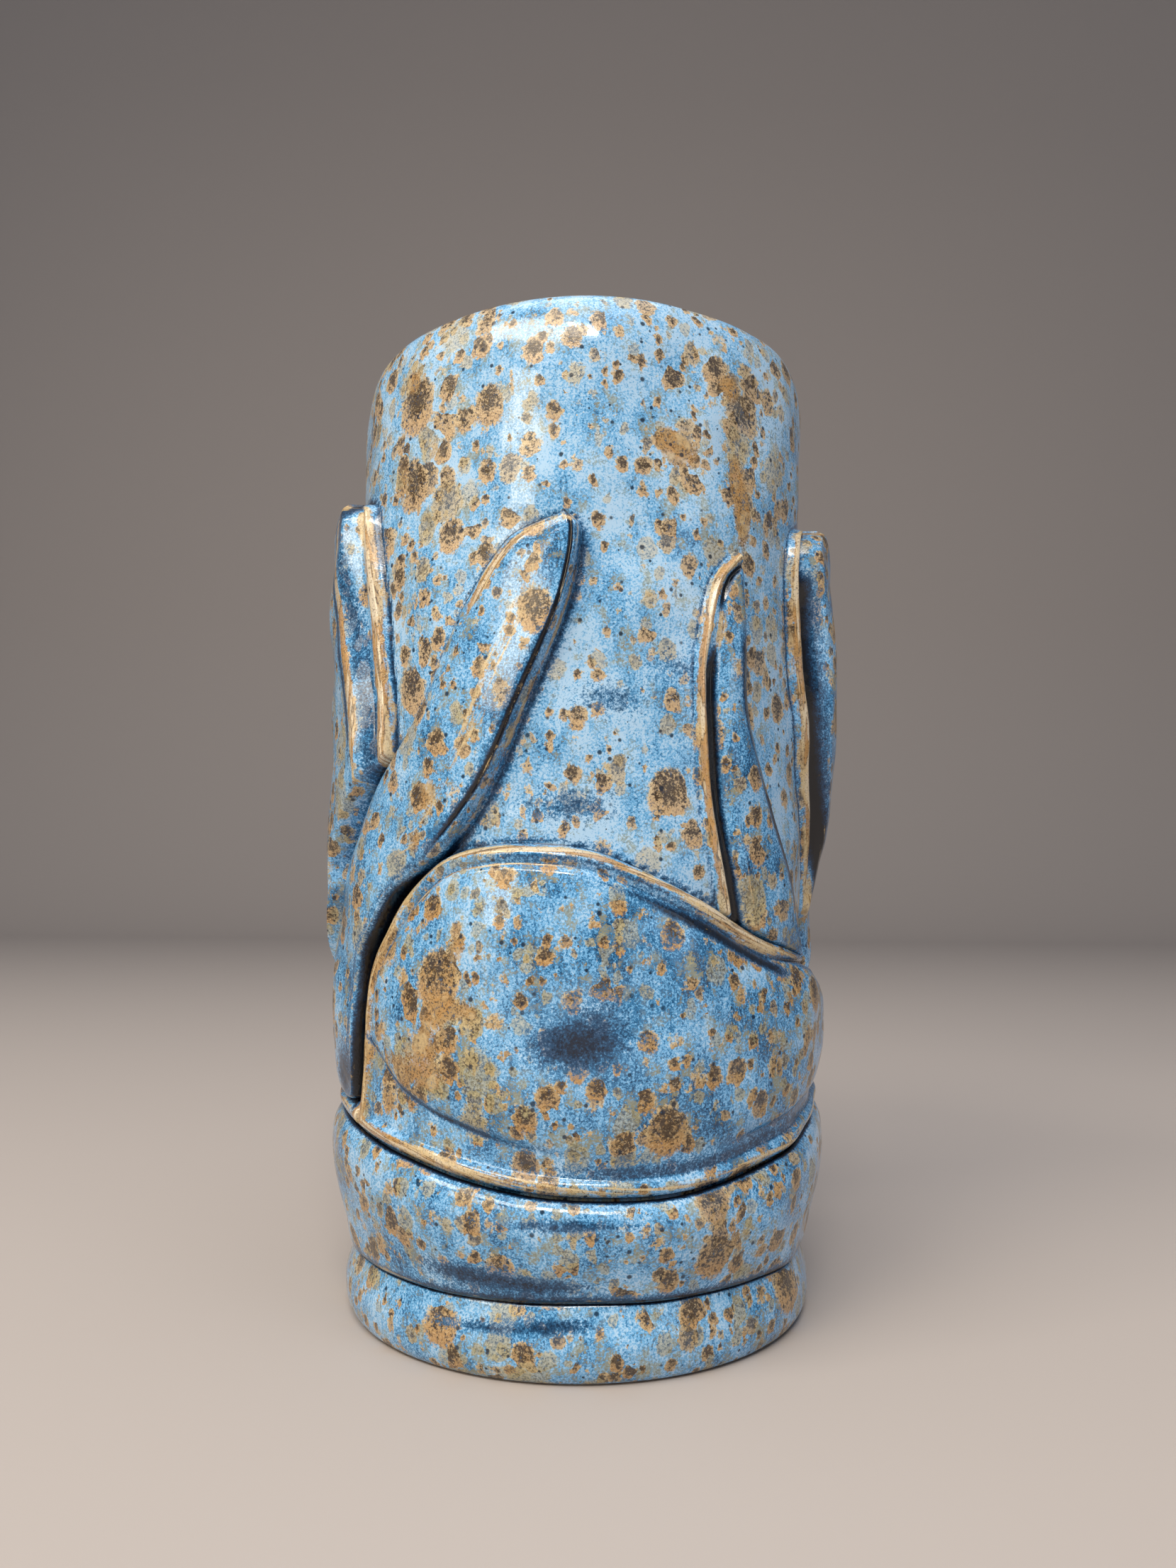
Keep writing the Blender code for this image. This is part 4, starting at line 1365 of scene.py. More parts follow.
@dataclass
class ThrownBody:
    """The thrown cylinder: floor, wall and a soft, thick rim, in one section from axis to axis.

    The rim is round all over: outside it is an arc outer_round wide and outer_rise high, and inside
    it is a small round that takes up the rest of the wall.
    """

    steps: int = 352
    wall: float = 6.4
    outer_round: float = 4.6
    outer_rise: float = 12.0
    floor_top: float = 10.0
    inside_round: float = 9.0
    base: float = 3.0
    base_round: float = 2.0
    form_share: float = 0.5

    def arc(self, centre: Point, radii: Point, first: float, last: float, count: int) -> Array:
        """Return radius and height round an elliptic arc, its angles in degrees."""
        angle = np.radians(np.linspace(first, last, count))
        return np.stack([centre[0] + radii[0] * np.cos(angle), centre[1] + radii[1] * np.sin(angle)], axis=-1)

    def section(self) -> Array:
        """Return radius and height along the section, from under the floor to the floor's middle.

        Returns:
            The points, one after another.
        """
        top, inner = WALL.top, WALL.radius - self.wall
        base_radius = WALL.radius - WALL.base_taper
        inner_round = self.wall - self.outer_round
        middle = inner + inner_round
        height = np.concatenate([np.linspace(6.0, 34.0, 10), np.linspace(35.0, top - self.outer_rise, 160)])
        inside = np.linspace(top - inner_round - 1.0, self.floor_top + self.inside_round, 44)
        corner = (base_radius - self.base_round, self.base + self.base_round)
        low = (inner - self.inside_round, self.floor_top + self.inside_round)
        floor = np.linspace(inner - self.inside_round - 3.0, 1.2, 8)
        return np.concatenate([
            np.array([[1.2, self.base], [20.0, self.base], [40.0, self.base]]),
            self.arc(corner, (self.base_round,) * 2, -90, 0, 4),
            np.stack([WALL.outer(height), height], axis=-1),
            self.arc((middle, top - self.outer_rise), (self.outer_round, self.outer_rise), 4, 90, 26),
            self.arc((middle, top - inner_round), (inner_round,) * 2, 102, 180, 7),
            np.stack([np.full(inside.shape, inner), inside], axis=-1),
            self.arc(low, (self.inside_round,) * 2, -6, -90, 12),
            np.stack([floor, np.full(floor.shape, self.floor_top)], axis=-1),
        ])

    def build(self, glaze: GlazeMap) -> bpy.types.Object:
        """Make the body's mesh. The rim's rounding counts as a crest, and the base is bare clay.

        Args:
            glaze: The glaze map.

        Returns:
            The object.
        """
        section = self.section()
        azimuth = np.arange(self.steps) * FULL_TURN / self.steps
        radius = np.broadcast_to(section[:, :1], (len(section), self.steps))
        height = np.broadcast_to(section[:, 1:], radius.shape)
        spot = np.broadcast_to(azimuth, radius.shape)
        outside = (radius > WALL.radius - self.wall * 0.6) & (height < WALL.top - 1.0)
        masks = {mask: np.where(outside, value, 0.0) for mask, value in glaze.masks(spot, height).items()}
        for mask in (Mask.CREST, Mask.POOL):
            masks[mask] = masks[mask] * self.form_share
        masks[Mask.CREST] = masks[Mask.CREST] + 0.35 * bell(height, WALL.top, 1.6)
        masks[Mask.BARE] = 1.0 - smooth_step(height, self.base + 0.2, self.base + 0.6)
        return put_mesh("glazed_thrown_body", around(spot, radius, height), masks, closed=False)


def build_laid(piece: Relief, glaze: GlazeMap) -> dict[Side, bpy.types.Object]:
    """Make a laid piece and its copy on the far side.

    The front is the relief of everything up to this piece. Past the outline it meets what it lies on,
    and sinks under it. The back lies inside the wall.

    Args:
        piece: The kind of piece.
        glaze: The glaze map.

    Returns:
        The two objects.
    """
    azimuth, height = piece.patch()
    flat = azimuth.ravel(), height.ravel()
    under = laid_relief(*flat, LAYERS[: LAYERS.index(piece)])
    own = piece.relief(*flat, Side.FRONT)
    edge = piece.edge_distance(*flat)
    sink = 1.2 * smooth_step(-edge, 0.7, piece.margin) + 2.0 * smooth_step(under - own, 0.6, 1.6)
    relief = (smooth_max(own, under, piece.fillet) - sink).reshape(azimuth.shape)
    masks = glaze.masks(azimuth, height)
    for mask in (Mask.CREST, Mask.POOL):
        masks[mask] = masks[mask] * piece.form_share
    for mask, value in piece.own_masks(*flat).items():
        masks[mask] = masks[mask] + value.reshape(azimuth.shape)
    masks[Mask.RILL] = np.abs(edge).reshape(azimuth.shape)
    share = np.linspace(1.0, 0.0, BACK_COLUMNS)
    back_azimuth, back_height = (
        part[:, :1] + (part[:, -1:] - part[:, :1]) * share for part in (azimuth, height)
    )
    spot, radius, level = (
        np.concatenate(pair, axis=1)
        for pair in (
            (azimuth, back_azimuth),
            (WALL.outer(height) + relief, WALL.outer(back_height) - BACK_DEPTH),
            (height, back_height),
        )
    )
    blank = np.zeros(back_height.shape)
    masks = {mask: np.concatenate([value, blank], axis=1) for mask, value in masks.items()}
    made = {}
    for side in Side:
        name = f"glazed_{side.name.lower()}_{piece.name}"
        made[side] = put_mesh(name, around(spot + side.value, radius, level), masks, closed=False)
    return made


@dataclass(frozen=True)
class Value:
    """A number that flows through a node tree. A formula of them makes one math node for each step."""

    graph: "Graph"
    socket: Socket

    def __add__(self, other: object) -> "Value":
        """Return the sum."""
        return self.graph.math("ADD", self, other)

    def __sub__(self, other: object) -> "Value":
        """Return the difference."""
        return self.graph.math("SUBTRACT", self, other)

    def __mul__(self, other: object) -> "Value":
        """Return the product."""
        return self.graph.math("MULTIPLY", self, other)

    def __truediv__(self, other: object) -> "Value":
        """Return the quotient."""
        return self.graph.math("DIVIDE", self, other)

    def swing(self, strength: float) -> "Value":
        """Return how far a noise lies from its middle, times a strength: (value - 0.5) strength."""
        return (self - 0.5) * strength

    def ramp(self, low: float, high: float) -> "Value":
        """Return a smooth step from 0 at low to 1 at high, which falls where high is the smaller."""
        return self.graph.map_range("SMOOTHSTEP", self, low, high, 0.0, 1.0)

    def line(self, low: float, high: float, start: float, end: float) -> "Value":
        """Return the value mapped from low..high to start..end on a straight line, kept within it."""
        return self.graph.map_range("LINEAR", self, low, high, start, end)


@dataclass
class Graph:
    """A node tree with short calls for the nodes that the glaze uses."""

    tree: bpy.types.NodeTree

    def node(self, kind: str, **settings: object) -> bpy.types.Node:
        """Add a node and set its properties.

        Args:
            kind: Blender's name for the node.
            settings: Its properties.

        Returns:
            The node.
        """
        made = self.tree.nodes.new(kind)
        for name, value in settings.items():
            setattr(made, name, value)
        return made

    def feed(self, socket: Socket, value: object) -> None:
        """Link a value or a socket into another socket, or set a constant on it.

        Args:
            socket: The input.
            value: What it gets.
        """
        if isinstance(value, Value):
            value = value.socket
        if isinstance(value, bpy.types.NodeSocket):
            self.tree.links.new(value, socket)
        else:
            socket.default_value = value

    def feed_all(self, made: bpy.types.Node, values: tuple[object, ...]) -> None:
        """Feed a node's inputs in their order."""
        for socket, value in zip(made.inputs, values):
            self.feed(socket, value)

    def math(self, operation: str, *values: object) -> Value:
        """Return the result of a math node."""
        made = self.node("ShaderNodeMath", operation=operation)
        self.feed_all(made, values)
        return Value(self, made.outputs[0])

    def vector(self, operation: str, *values: object) -> Socket:
        """Return the result of a vector math node."""
        made = self.node("ShaderNodeVectorMath", operation=operation)
        self.feed_all(made, values)
        return made.outputs[0]

    def map_range(self, interpolation: str, *values: object) -> Value:
        """Return a value mapped from one range to another: value, low, high, start and end."""
        made = self.node("ShaderNodeMapRange", interpolation_type=interpolation, clamp=True)
        self.feed_all(made, values)
        return Value(self, made.outputs[0])

    def mix(self, factor: object, one: object, other: object) -> Socket:
        """Return a mix of two colours.

        Args:
            factor: How much of the second colour.
            one: The first colour.
            other: The second colour.

        Returns:
            The mixed colour.
        """
        made = self.node("ShaderNodeMix", data_type="RGBA", blend_type="MIX", clamp_factor=True)
        self.feed(made.inputs["Factor"], factor)
        self.feed(made.inputs[6], one)
        self.feed(made.inputs[7], other)
        return made.outputs[2]

    def coat(self, color: object, *coats: tuple[object, object]) -> Socket:
        """Lay coats over a colour, one after another, each a mask and its colour."""
        for mask, hue in coats:
            color = self.mix(mask, color, hue)
        return color

    def noise(
        self, vector: Socket, size: float, detail: float = 2.0, rough: float = 0.5, output: str = "Fac"
    ) -> Value:
        """Return a noise whose features are about size millimetres wide.

        Args:
            vector: The place to read it at, in millimetres.
            size: The width of its features.
            detail: How many finer layers it has.
            rough: How strong each finer layer is.
            output: The noise node's output to return.

        Returns:
            The noise, around a half.
        """
        made = self.node("ShaderNodeTexNoise")
        settings = {"Vector": vector, "Scale": 1.0 / size, "Detail": detail, "Roughness": rough}
        for name, value in settings.items():
            self.feed(made.inputs[name], value)
        return Value(self, made.outputs[output])

    def cells(self, place: Socket, size: float) -> tuple[Value, Socket, Value, Value]:
        """Return a pattern of cells, one seed in each.

        Args:
            place: The place to read it at, in millimetres.
            size: The width of a cell.

        Returns:
            The distance from the nearest seed in cells, that seed's place, and two random values of it.
        """
        made = self.node("ShaderNodeTexVoronoi", feature="F1")
        self.feed(made.inputs["Vector"], place)
        self.feed(made.inputs["Scale"], 1.0 / size)
        chance = self.node("ShaderNodeSeparateColor")
        self.feed(chance.inputs[0], made.outputs["Color"])
        luck, tint = (Value(self, chance.outputs[index]) for index in (0, 1))
        return Value(self, made.outputs["Distance"]), made.outputs["Position"], luck, tint


RGB = tuple[float, float, float, float]


@dataclass(frozen=True)
class Crystals:
    """One size of crystal bloom: round spots that grow from seeds, one to a cell of the glaze.

    A spot's radius is a random share of its cell, and it has none where the random value lies below
    the rarity. Fray is how far the grit moves its outline, as a share of the cell.
    """

    cell: float
    rarity: float
    radius: float
    fray: float


@dataclass(frozen=True)
class GlazePalette:
    """The colours of the glaze, from its thinnest to its thickest, and of the crystals in it."""

    pale: RGB = (0.385, 0.59, 0.83, 1.0)
    sky: RGB = (0.15, 0.405, 0.73, 1.0)
    middle: RGB = (0.035, 0.17, 0.38, 1.0)
    deep: RGB = (0.008, 0.045, 0.12, 1.0)
    navy: RGB = (0.003, 0.010, 0.028, 1.0)
    black: RGB = (0.003, 0.003, 0.005, 1.0)
    olive: RGB = (0.36, 0.345, 0.19, 1.0)
    halo: RGB = (0.60, 0.48, 0.28, 1.0)
    ochre: RGB = (0.37, 0.24, 0.105, 1.0)
    amber: RGB = (0.43, 0.245, 0.085, 1.0)
    core: RGB = (0.042, 0.024, 0.011, 1.0)
    cream: RGB = (0.66, 0.56, 0.41, 1.0)
    clay: RGB = (0.42, 0.33, 0.24, 1.0)


@dataclass(frozen=True)
class Grains:
    """The noises that the glaze is made of, from fine to broad, and the places to read patterns at.

    The streak runs down the wall and the rill runs along the nearest edge. The warped place is bent
    by a noise, so that spots read there aren't round.
    """

    place: Socket
    warped: Socket
    fine: Value
    grit: Value
    coarse: Value
    drift: Value
    cloud: Value
    streak: Value
    rill: Value


@dataclass(frozen=True)
class GlazePattern:
    """The shared glaze pattern, a node group from masks and place to colour, roughness and height.

    Sizes are in millimetres. The flow is how much spots are drawn out down the wall, the streak's
    stretch and the rill's are how much slower these two change along their own way. The depth's
    middle is what its noises add up to where the glaze is neither thin nor thick.
    """

    palette: GlazePalette = GlazePalette()
    large: Crystals = Crystals(cell=8.2, rarity=0.60, radius=0.58, fray=0.26)
    middle: Crystals = Crystals(cell=4.3, rarity=0.17, radius=0.66, fray=0.38)
    small: Crystals = Crystals(cell=2.5, rarity=0.22, radius=0.60, fray=0.55)
    flow: float = 0.84
    warp: float = 1.6
    warp_size: float = 2.0
    fine_size: float = 0.42
    grit_size: float = 0.8
    coarse_size: float = 1.4
    drift_size: float = 3.6
    cloud_size: float = 11.0
    streak_size: float = 0.8
    streak_stretch: float = 0.16
    rill_rate: float = 1.5
    rill_stretch: float = 0.10
    speck_cell: float = 1.9
    depth_middle: float = 1.385
    name: str = "crystal_glaze"

    def grains(self, graph: Graph, metres: Socket, edge: Value) -> Grains:
        """Make the noises.

        Args:
            graph: The node tree.
            metres: The place on the object.
            edge: The distance from the piece's edge, in millimetres.

        Returns:
            The noises and the places.
        """
        place = graph.vector("MULTIPLY", metres, (1.0 / MM,) * 3)
        fallen = graph.vector("MULTIPLY", place, (1.0, 1.0, self.flow))
        bend = graph.vector("SUBTRACT", graph.noise(fallen, self.warp_size, output="Color"), (0.5,) * 3)
        down = graph.vector("MULTIPLY", place, (1.0, 1.0, self.streak_stretch))
        along = graph.vector("MULTIPLY", place, (self.rill_stretch,) * 3)
        across = graph.node("ShaderNodeCombineXYZ")
        graph.feed(across.inputs[0], edge * self.rill_rate)
        return Grains(
            place=place,
            warped=graph.vector("MULTIPLY_ADD", bend, (self.warp,) * 3, fallen),
            fine=graph.noise(place, self.fine_size, rough=0.75),
            grit=graph.noise(place, self.grit_size, rough=0.75),
            coarse=graph.noise(place, self.coarse_size, 3.0, 0.6),
            drift=graph.noise(fallen, self.drift_size, rough=0.6),
            cloud=graph.noise(fallen, self.cloud_size, rough=0.6),
            streak=graph.noise(down, self.streak_size),
            rill=graph.noise(graph.vector("ADD", along, across.outputs[0]), 1.0, rough=0.6),
        )

    def ground(self, graph: Graph, grains: Grains, depth: Value, ochre: Value) -> Socket:
        """Return the glaze's own blue, from pale where it is thin to deep, with an olive veil.

        Args:
            graph: The node tree.
            grains: The noises.
            depth: What the slot adds to the depth.
            ochre: Where crystals gather.

        Returns:
            The colour.
        """
        hue = self.palette
        noises = grains.cloud * 1.1 + grains.drift * 0.6 + grains.fine * 1.55 + grains.streak * 0.4
        depth = noises + (depth - self.depth_middle)
        veil = grains.drift + grains.coarse.swing(0.6) + grains.fine.swing(0.8) + ochre * 0.12
        return graph.coat(
            hue.pale,
            (depth.ramp(0.22, 0.48), hue.sky),
            (depth.ramp(0.50, 0.70), hue.middle),
            (depth.ramp(0.70, 0.90), hue.deep),
            (veil.ramp(0.55, 0.70) * 0.6, hue.olive),
        )

    def bloom(
        self, graph: Graph, size: Crystals, grains: Grains, growth: Value, frost: Value
    ) -> tuple[Value, Value, Socket]:
        """Make one size of crystals.

        A spot runs from a pale halo at its rim to ochre, with a dark core that sits above its middle
        and amber below it, where the glaze has run. Frost pales it, and grit and fine grain fleck it
        dark and light. Its share is 0 at the seed and 1 at the rim: (distance + fray) / radius.

        Args:
            graph: The node tree.
            size: The size of crystal.
            grains: The noises.
            growth: What is added to every radius.
            frost: How pale the crystals are.

        Returns:
            The spots' mask, how opaque each one is, and their colour.
        """
        hue = self.palette
        distance, seed, luck, tint = graph.cells(grains.warped, size.cell)
        radius = graph.math("MAXIMUM", luck.line(size.rarity, 1.0, 0.0, size.radius) + growth, 0.001)
        share = (distance + grains.grit.swing(size.fray)) / radius
        parts = graph.node("ShaderNodeSeparateXYZ")
        graph.feed(parts.inputs[0], graph.vector("SUBTRACT", grains.warped, seed))
        rise = Value(graph, parts.outputs[2]) * (1.0 / size.cell) / radius
        run = rise.ramp(0.05, -0.6) * tint.ramp(0.35, 0.6)
        heart = (share - rise * 0.5 + grains.grit.swing(-3.0)).ramp(0.76, 0.34) * tint.ramp(0.10, 0.45)
        tone = graph.coat(
            hue.halo,
            (share.ramp(0.96, 0.72), hue.ochre),
            (tint.ramp(0.45, 0.25) * 0.85, hue.olive),
            (run * 0.9, hue.amber),
            (frost, hue.cream),
            (heart * 0.92, hue.core),
            (grains.grit.ramp(0.52, 0.64) * 0.8, hue.core),
            (grains.fine.ramp(0.44, 0.34) * 0.5, hue.halo),
            (grains.fine.ramp(0.53, 0.61) * 0.55, hue.core),
        )
        return share.ramp(1.06, 0.86), tint.line(0.0, 0.5, 0.55, 0.97), tone

    def rust(self, graph: Graph, grains: Grains, ochre: Value) -> tuple[Value, Socket]:
        """Return the mask and the colour of the large patches where crystals have merged.

        Args:
            graph: The node tree.
            grains: The noises.
            ochre: Where crystals gather.

        Returns:
            The mask and the colour.
        """
        hue = self.palette
        merged = ochre * 0.8 + grains.coarse * 0.7 + grains.fine.swing(0.5)
        tone = graph.coat(
            hue.ochre,
            (grains.coarse.ramp(0.56, 0.44), hue.amber),
            (grains.fine.ramp(0.50, 0.60) * 0.8, hue.core),
            (grains.drift.ramp(0.50, 0.38) * 0.6, hue.halo),
        )
        return merged.ramp(0.88, 1.10) * 0.9, tone

    def specks(self, graph: Graph, grains: Grains) -> Value:
        """Return the mask of small dark specks."""
        distance, _, luck, _ = graph.cells(grains.place, self.speck_cell)
        return (distance / luck.line(0.45, 1.0, 0.001, 0.34)).ramp(1.0, 0.5) * 0.9

    def break_edges(self, graph: Graph, grains: Grains, crest: Value) -> tuple[Value, Socket]:
        """Return the mask and the colour of the edges that the glaze has run off.

        They are tan with lines along the edge, cream where the glaze is thinnest, and dark in cracks. The
        crest mask also carries painted highlights, which come out cream here.

        Args:
            graph: The node tree.
            grains: The noises.
            crest: Where the form stands proud, and the painted highlights.

        Returns:
            The mask and the colour.
        """
        hue = self.palette
        thin = crest + grains.rill.swing(1.3) + grains.coarse.swing(0.6) + grains.fine.swing(0.5)
        bright = thin.ramp(0.85, 1.2) * grains.rill.ramp(0.42, 0.54)
        crack = graph.math("ABSOLUTE", grains.rill - 0.47).ramp(0.026, 0.0)
        tone = graph.coat(
            hue.amber,
            (grains.rill.ramp(0.40, 0.60), hue.halo),
            (grains.coarse.ramp(0.52, 0.62) * 0.6, hue.ochre),
            (bright * 0.9, hue.cream),
            (crack * 0.8, hue.core),
            (grains.fine.ramp(0.54, 0.64) * 0.6, hue.core),
        )
        return thin.ramp(0.36, 0.62) * 0.9, tone

    def build(self) -> bpy.types.NodeTree:
        """Make the node group.

        Returns:
            The node group.
        """
        tree = bpy.data.node_groups.new(self.name, "ShaderNodeTree")
        numbers = ("Crest", "Pool", "Ochre", "Bare", "Rill", "Depth", "Growth", "Frost")
        for name in numbers:
            tree.interface.new_socket(name, in_out="INPUT", socket_type="NodeSocketFloat")
        tree.interface.new_socket("Place", in_out="INPUT", socket_type="NodeSocketVector")
        tree.interface.new_socket("Color", in_out="OUTPUT", socket_type="NodeSocketColor")
        for name in ("Roughness", "Height"):
            tree.interface.new_socket(name, in_out="OUTPUT", socket_type="NodeSocketFloat")
        graph = Graph(tree)
        source = graph.node("NodeGroupInput").outputs
        result = graph.node("NodeGroupOutput").inputs
        crest, pool, ochre, bare, edge, depth, growth, frost = (
            Value(graph, source[name]) for name in numbers
        )
        hue = self.palette
        grains = self.grains(graph, source["Place"], edge)

        color = self.ground(graph, grains, depth, ochre)
        growth = ochre * 0.30 + growth
        spots = 0.0
        for size in (self.small, self.middle, self.large):
            mask, opacity, tone = self.bloom(graph, size, grains, growth, frost)
            color = graph.mix(mask * opacity, color, tone)
            spots = graph.math("MAXIMUM", spots, mask)
        # The pool mask darkens towards navy and black: glaze that gathers, and the painted shade and painted
        # dark reflection that the mask also carries.
        thick = pool + grains.coarse.swing(0.6) + grains.fine.swing(0.9)
        color = graph.coat(
            color,
            self.rust(graph, grains, ochre),
            (self.specks(graph, grains), hue.navy),
            (thick.ramp(0.10, 0.34) * 0.8, hue.middle),
            (thick.ramp(0.26, 0.50) * 0.92, hue.deep),
            (thick.ramp(0.48, 0.74) * 0.95, hue.navy),
            (thick.ramp(0.80, 1.05) * 0.95, hue.black),
            self.break_edges(graph, grains, crest),
            (bare, hue.clay),
        )
        ripple = grains.fine * spots * 1.1 + grains.coarse * 0.35 + grains.fine * 0.15
        graph.feed(result["Color"], color)
        graph.feed(result["Roughness"], spots * 0.14 + 0.10 + bare * 0.6)
        graph.feed(result["Height"], ripple - spots * 0.45)
        return tree


@dataclass(frozen=True)
class Glaze:
    """The finish of one slot: the shared pattern, with what the slot adds to its values.

    Depth makes the blue deeper, growth makes every crystal larger, and frost makes crystals paler.
    """

    slot: Slot
    depth: float = 0.0
    growth: float = 0.0
    frost: float = 0.0
    bump_height: float = 0.00014
    bump_strength: float = 0.6
    ior: float = 1.50
    coat: float = 0.16
    coat_roughness: float = 0.04

    def build(self, pattern: bpy.types.NodeTree) -> bpy.types.Material:
        """Make the material.

        Args:
            pattern: The shared node group.

        Returns:
            The material.
        """
        material = bpy.data.materials.new(self.slot.value)
        material.use_nodes = True
        graph = Graph(material.node_tree)
        shader = material.node_tree.nodes["Principled BSDF"]
        group = graph.node("ShaderNodeGroup", node_tree=pattern)
        bump = graph.node("ShaderNodeBump")
        for mask in Mask:
            reader = graph.node("ShaderNodeAttribute", attribute_name=mask.value)
            graph.feed(group.inputs[mask.name.capitalize()], reader.outputs["Fac"])
        place = graph.node("ShaderNodeTexCoord").outputs["Object"]
        for made, name, value in (
            (group, "Depth", self.depth),
            (group, "Growth", self.growth),
            (group, "Frost", self.frost),
            (group, "Place", place),
            (bump, "Distance", self.bump_height),
            (bump, "Strength", self.bump_strength),
            (bump, "Height", group.outputs["Height"]),
            (shader, "Base Color", group.outputs["Color"]),
            (shader, "Roughness", group.outputs["Roughness"]),
            (shader, "Normal", bump.outputs[0]),
            (shader, "IOR", self.ior),
            (shader, "Coat Weight", self.coat),
            (shader, "Coat Roughness", self.coat_roughness),
        ):
            graph.feed(made.inputs[name], value)
        return material


GLAZES = (
    Glaze(Slot.BODY, depth=-0.03, growth=0.01, frost=0.36),
    Glaze(Slot.LEAF, depth=0.14, growth=-0.02, frost=0.18),
    Glaze(Slot.PETAL, depth=0.15, growth=0.02),
    Glaze(Slot.FOOT, depth=0.09, growth=0.02, frost=0.08),
)


@dataclass(frozen=True)
class Lamp:
    """A rectangular lamp that faces the vase's middle.

    Its azimuth and elevation are in degrees, its distance, width and height in metres and its power
    in watts.
    """

    name: str
    azimuth: float
    elevation: float
    distance: float
    size: tuple[float, float]
    power: float
    color: Point
    aim: float = 0.1

    def build(self) -> None:
        """Make the lamp."""
        data = bpy.data.lights.new(self.name, "AREA")
        data.shape = "RECTANGLE"
        data.size, data.size_y = self.size
        data.energy = self.power
        data.color = self.color
        turn, lift = math.radians(self.azimuth), math.radians(self.elevation)
        flat = self.distance * math.cos(lift)
        place = (flat * math.sin(turn), -flat * math.cos(turn), self.aim + self.distance * math.sin(lift))
        add_object(self.name, data).matrix_world = (
            Matrix.Translation(place)
            @ Matrix.Rotation(turn, 4, "Z")
            @ Matrix.Rotation(math.pi / 2 - lift, 4, "X")
        )


LAMPS = (
    Lamp("window", -42.0, 44.0, 1.3, (0.95, 0.34), 10.2, (1.0, 0.89, 0.73)),
    Lamp("window_right", -1.0, 45.0, 1.3, (0.42, 0.34), 8.8, (1.0, 0.91, 0.78)),
    Lamp("window_low", -38.0, 19.0, 1.3, (0.46, 0.40), 3.9, (1.0, 0.83, 0.57)),
    Lamp("fill", 50.0, 6.0, 1.4, (0.5, 1.0), 1.2, (0.95, 0.97, 1.0)),
    Lamp("top", 10.0, 80.0, 1.2, (0.9, 0.9), 5.0, (1.0, 1.0, 1.0)),
)


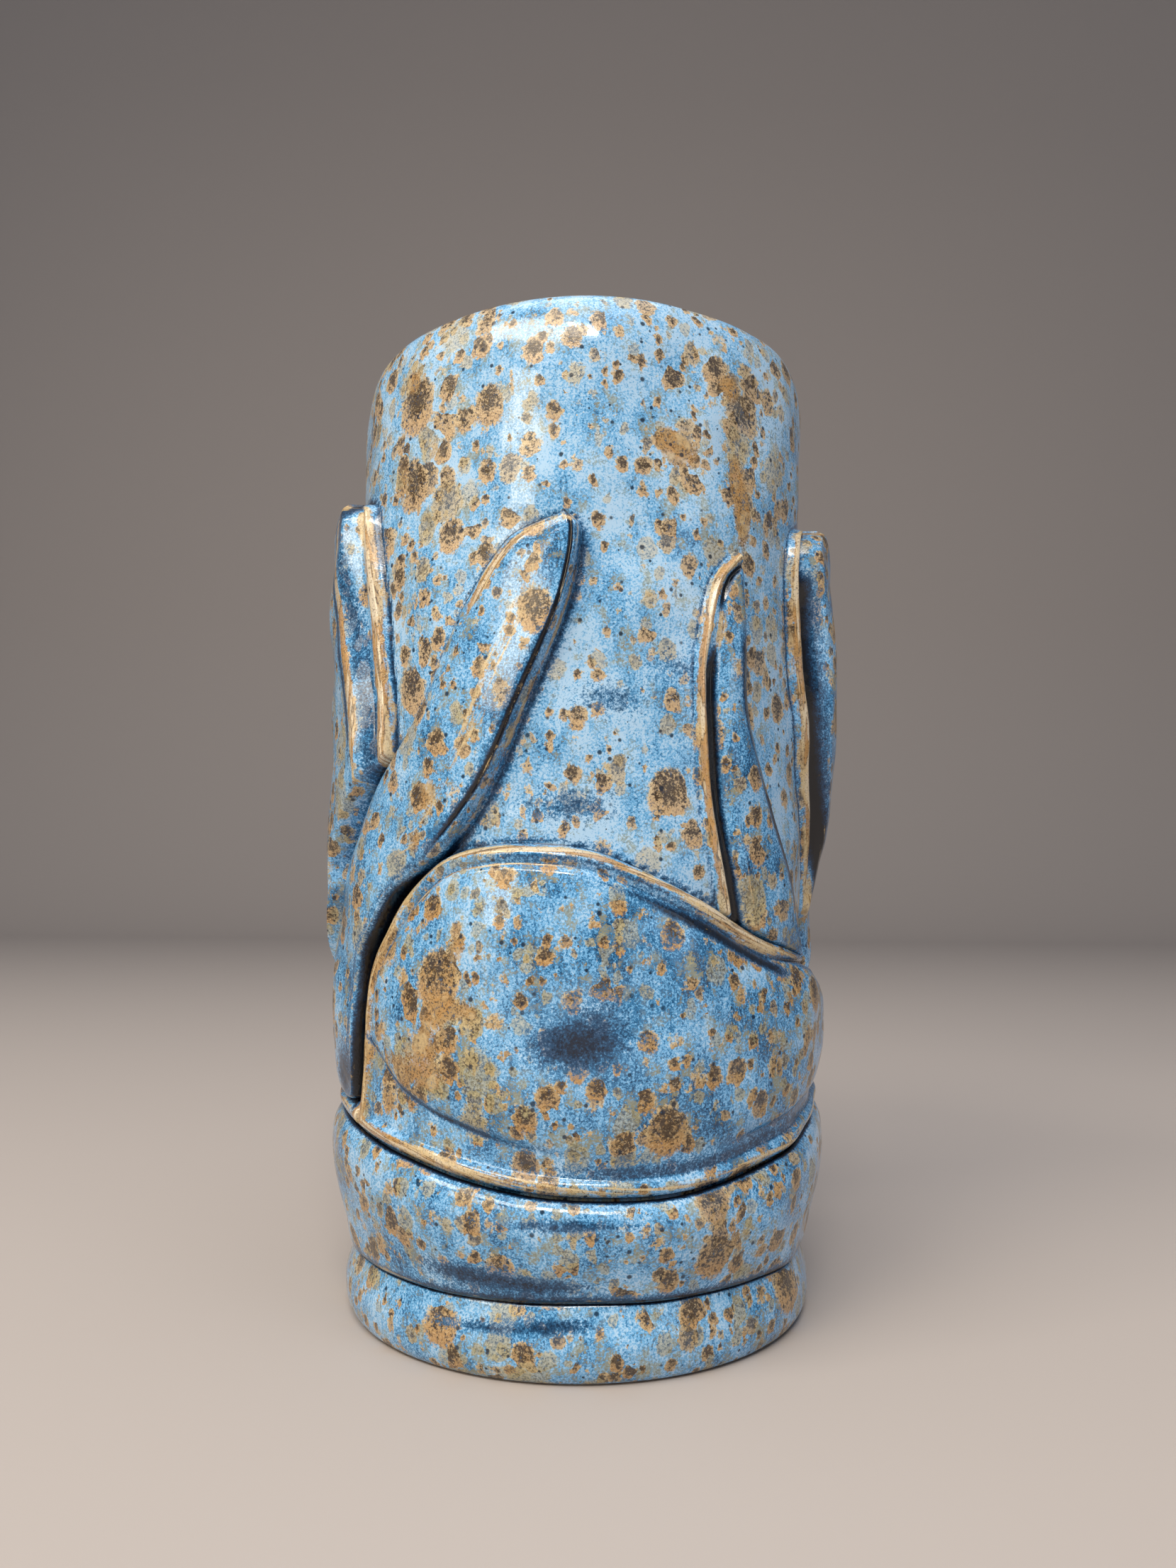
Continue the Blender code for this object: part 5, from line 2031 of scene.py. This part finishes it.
@dataclass
class Stage:
    """The floor with its backdrop, the surround light, the lamps and the camera.

    Distances are in metres from the vase's foot, and the camera's lens and sensor in millimetres.
    """

    floor_color: RGB = (0.46, 0.425, 0.42, 1.0)
    floor_roughness: float = 0.75
    floor_shine: float = 0.2
    floor_half: float = 2.2
    back: float = 1.3
    bend: float = 0.6
    backdrop_top: float = 2.6
    world_color: RGB = (0.90, 0.93, 1.0, 1.0)
    world_strength: float = 0.22
    lens: float = 26.04
    sensor: float = 36.0
    camera_place: Point = (0.0016, -0.2538, 0.0896)
    camera_pitch: float = 4.55
    camera_roll: float = 0.40

    def make_floor(self) -> None:
        """Make one pale sheet: a flat floor that bends up behind the vase through a quarter round."""
        angle = np.linspace(0.0, np.pi / 2, 24)
        depth = np.concatenate([[-self.floor_half, -0.4, 0.0, 0.4], self.back + self.bend * np.sin(angle)])
        rise = np.concatenate([[0.0, 0.0, 0.0, 0.0], self.bend * (1 - np.cos(angle))])
        depth, rise = np.append(depth, depth[-1]), np.append(rise, self.backdrop_top)
        left = np.stack([np.full(len(depth), -self.floor_half), depth, rise], axis=-1)
        right = left * (-1.0, 1.0, 1.0)
        number = np.arange(len(depth) - 1)
        faces = np.stack([number, number + len(depth), number + len(depth) + 1, number + 1], axis=-1)
        mesh = bpy.data.meshes.new("floor")
        mesh.from_pydata(np.concatenate([left, right]).tolist(), [], faces.tolist())
        mesh.shade_smooth()
        floor = add_object("floor", mesh)
        material = bpy.data.materials.new("pale_floor")
        material.use_nodes = True
        shader = material.node_tree.nodes["Principled BSDF"]
        shader.inputs["Base Color"].default_value = self.floor_color
        shader.inputs["Roughness"].default_value = self.floor_roughness
        shader.inputs["Specular IOR Level"].default_value = self.floor_shine
        mesh.materials.append(material)

    def make_world(self) -> None:
        """Make a plain, even surround light."""
        world = bpy.data.worlds.new("studio")
        bpy.context.scene.world = world
        world.use_nodes = True
        background = world.node_tree.nodes["Background"]
        background.inputs["Color"].default_value = self.world_color
        background.inputs["Strength"].default_value = self.world_strength

    def make_camera(self) -> None:
        """Make the camera at the place and the angle that were fitted to the photograph."""
        data = bpy.data.cameras.new("camera")
        data.sensor_width = self.sensor
        data.lens = self.lens
        data.dof.use_dof = False
        data.clip_start = 0.01
        camera = add_object("camera", data)
        camera.matrix_world = (
            Matrix.Translation(self.camera_place)
            @ Matrix.Rotation(math.radians(90.0 + self.camera_pitch), 4, "X")
            @ Matrix.Rotation(math.radians(self.camera_roll), 4, "Z")
        )
        bpy.context.scene.camera = camera

    def build(self) -> None:
        """Make the whole stage."""
        self.make_floor()
        self.make_world()
        for lamp in LAMPS:
            lamp.build()
        bpy.context.scene.view_settings.view_transform = "Standard"
        self.make_camera()


def settle(obj: bpy.types.Object, node: str, slot: Slot, materials: dict[Slot, bpy.types.Material]) -> None:
    """Give a piece its slot's material and put it in the place of its frame node.

    Args:
        obj: The piece.
        node: The frame node that it stands for.
        slot: Its material slot.
        materials: Every slot's material.
    """
    obj.data.materials.append(materials[slot])
    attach(obj, "root")
    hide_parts(node)
    LOG.info("%s stands for %s with %d faces", obj.name, node, len(obj.data.polygons))


def main() -> None:
    """Build the stage, the glazes and every piece."""
    logging.basicConfig(level=logging.INFO, format="%(name)s: %(message)s")
    Stage().build()
    pattern = GlazePattern().build()
    materials = {glaze.slot: glaze.build(pattern) for glaze in GLAZES}
    glaze_map = GlazeMap()
    settle(ThrownBody().build(glaze_map), "thrown_body", Slot.BODY, materials)
    settle(BELT.sweep(glaze_map, "glazed_belt_band"), "belt_band", Slot.FOOT, materials)
    settle(FOOT.sweep(glaze_map, "glazed_foot_ring"), "foot_ring", Slot.FOOT, materials)
    for piece in LAYERS:
        for side, obj in build_laid(piece, glaze_map).items():
            settle(obj, f"{side.name.lower()}_{piece.name}", piece.slot, materials)


if __name__ == "__main__":
    main()
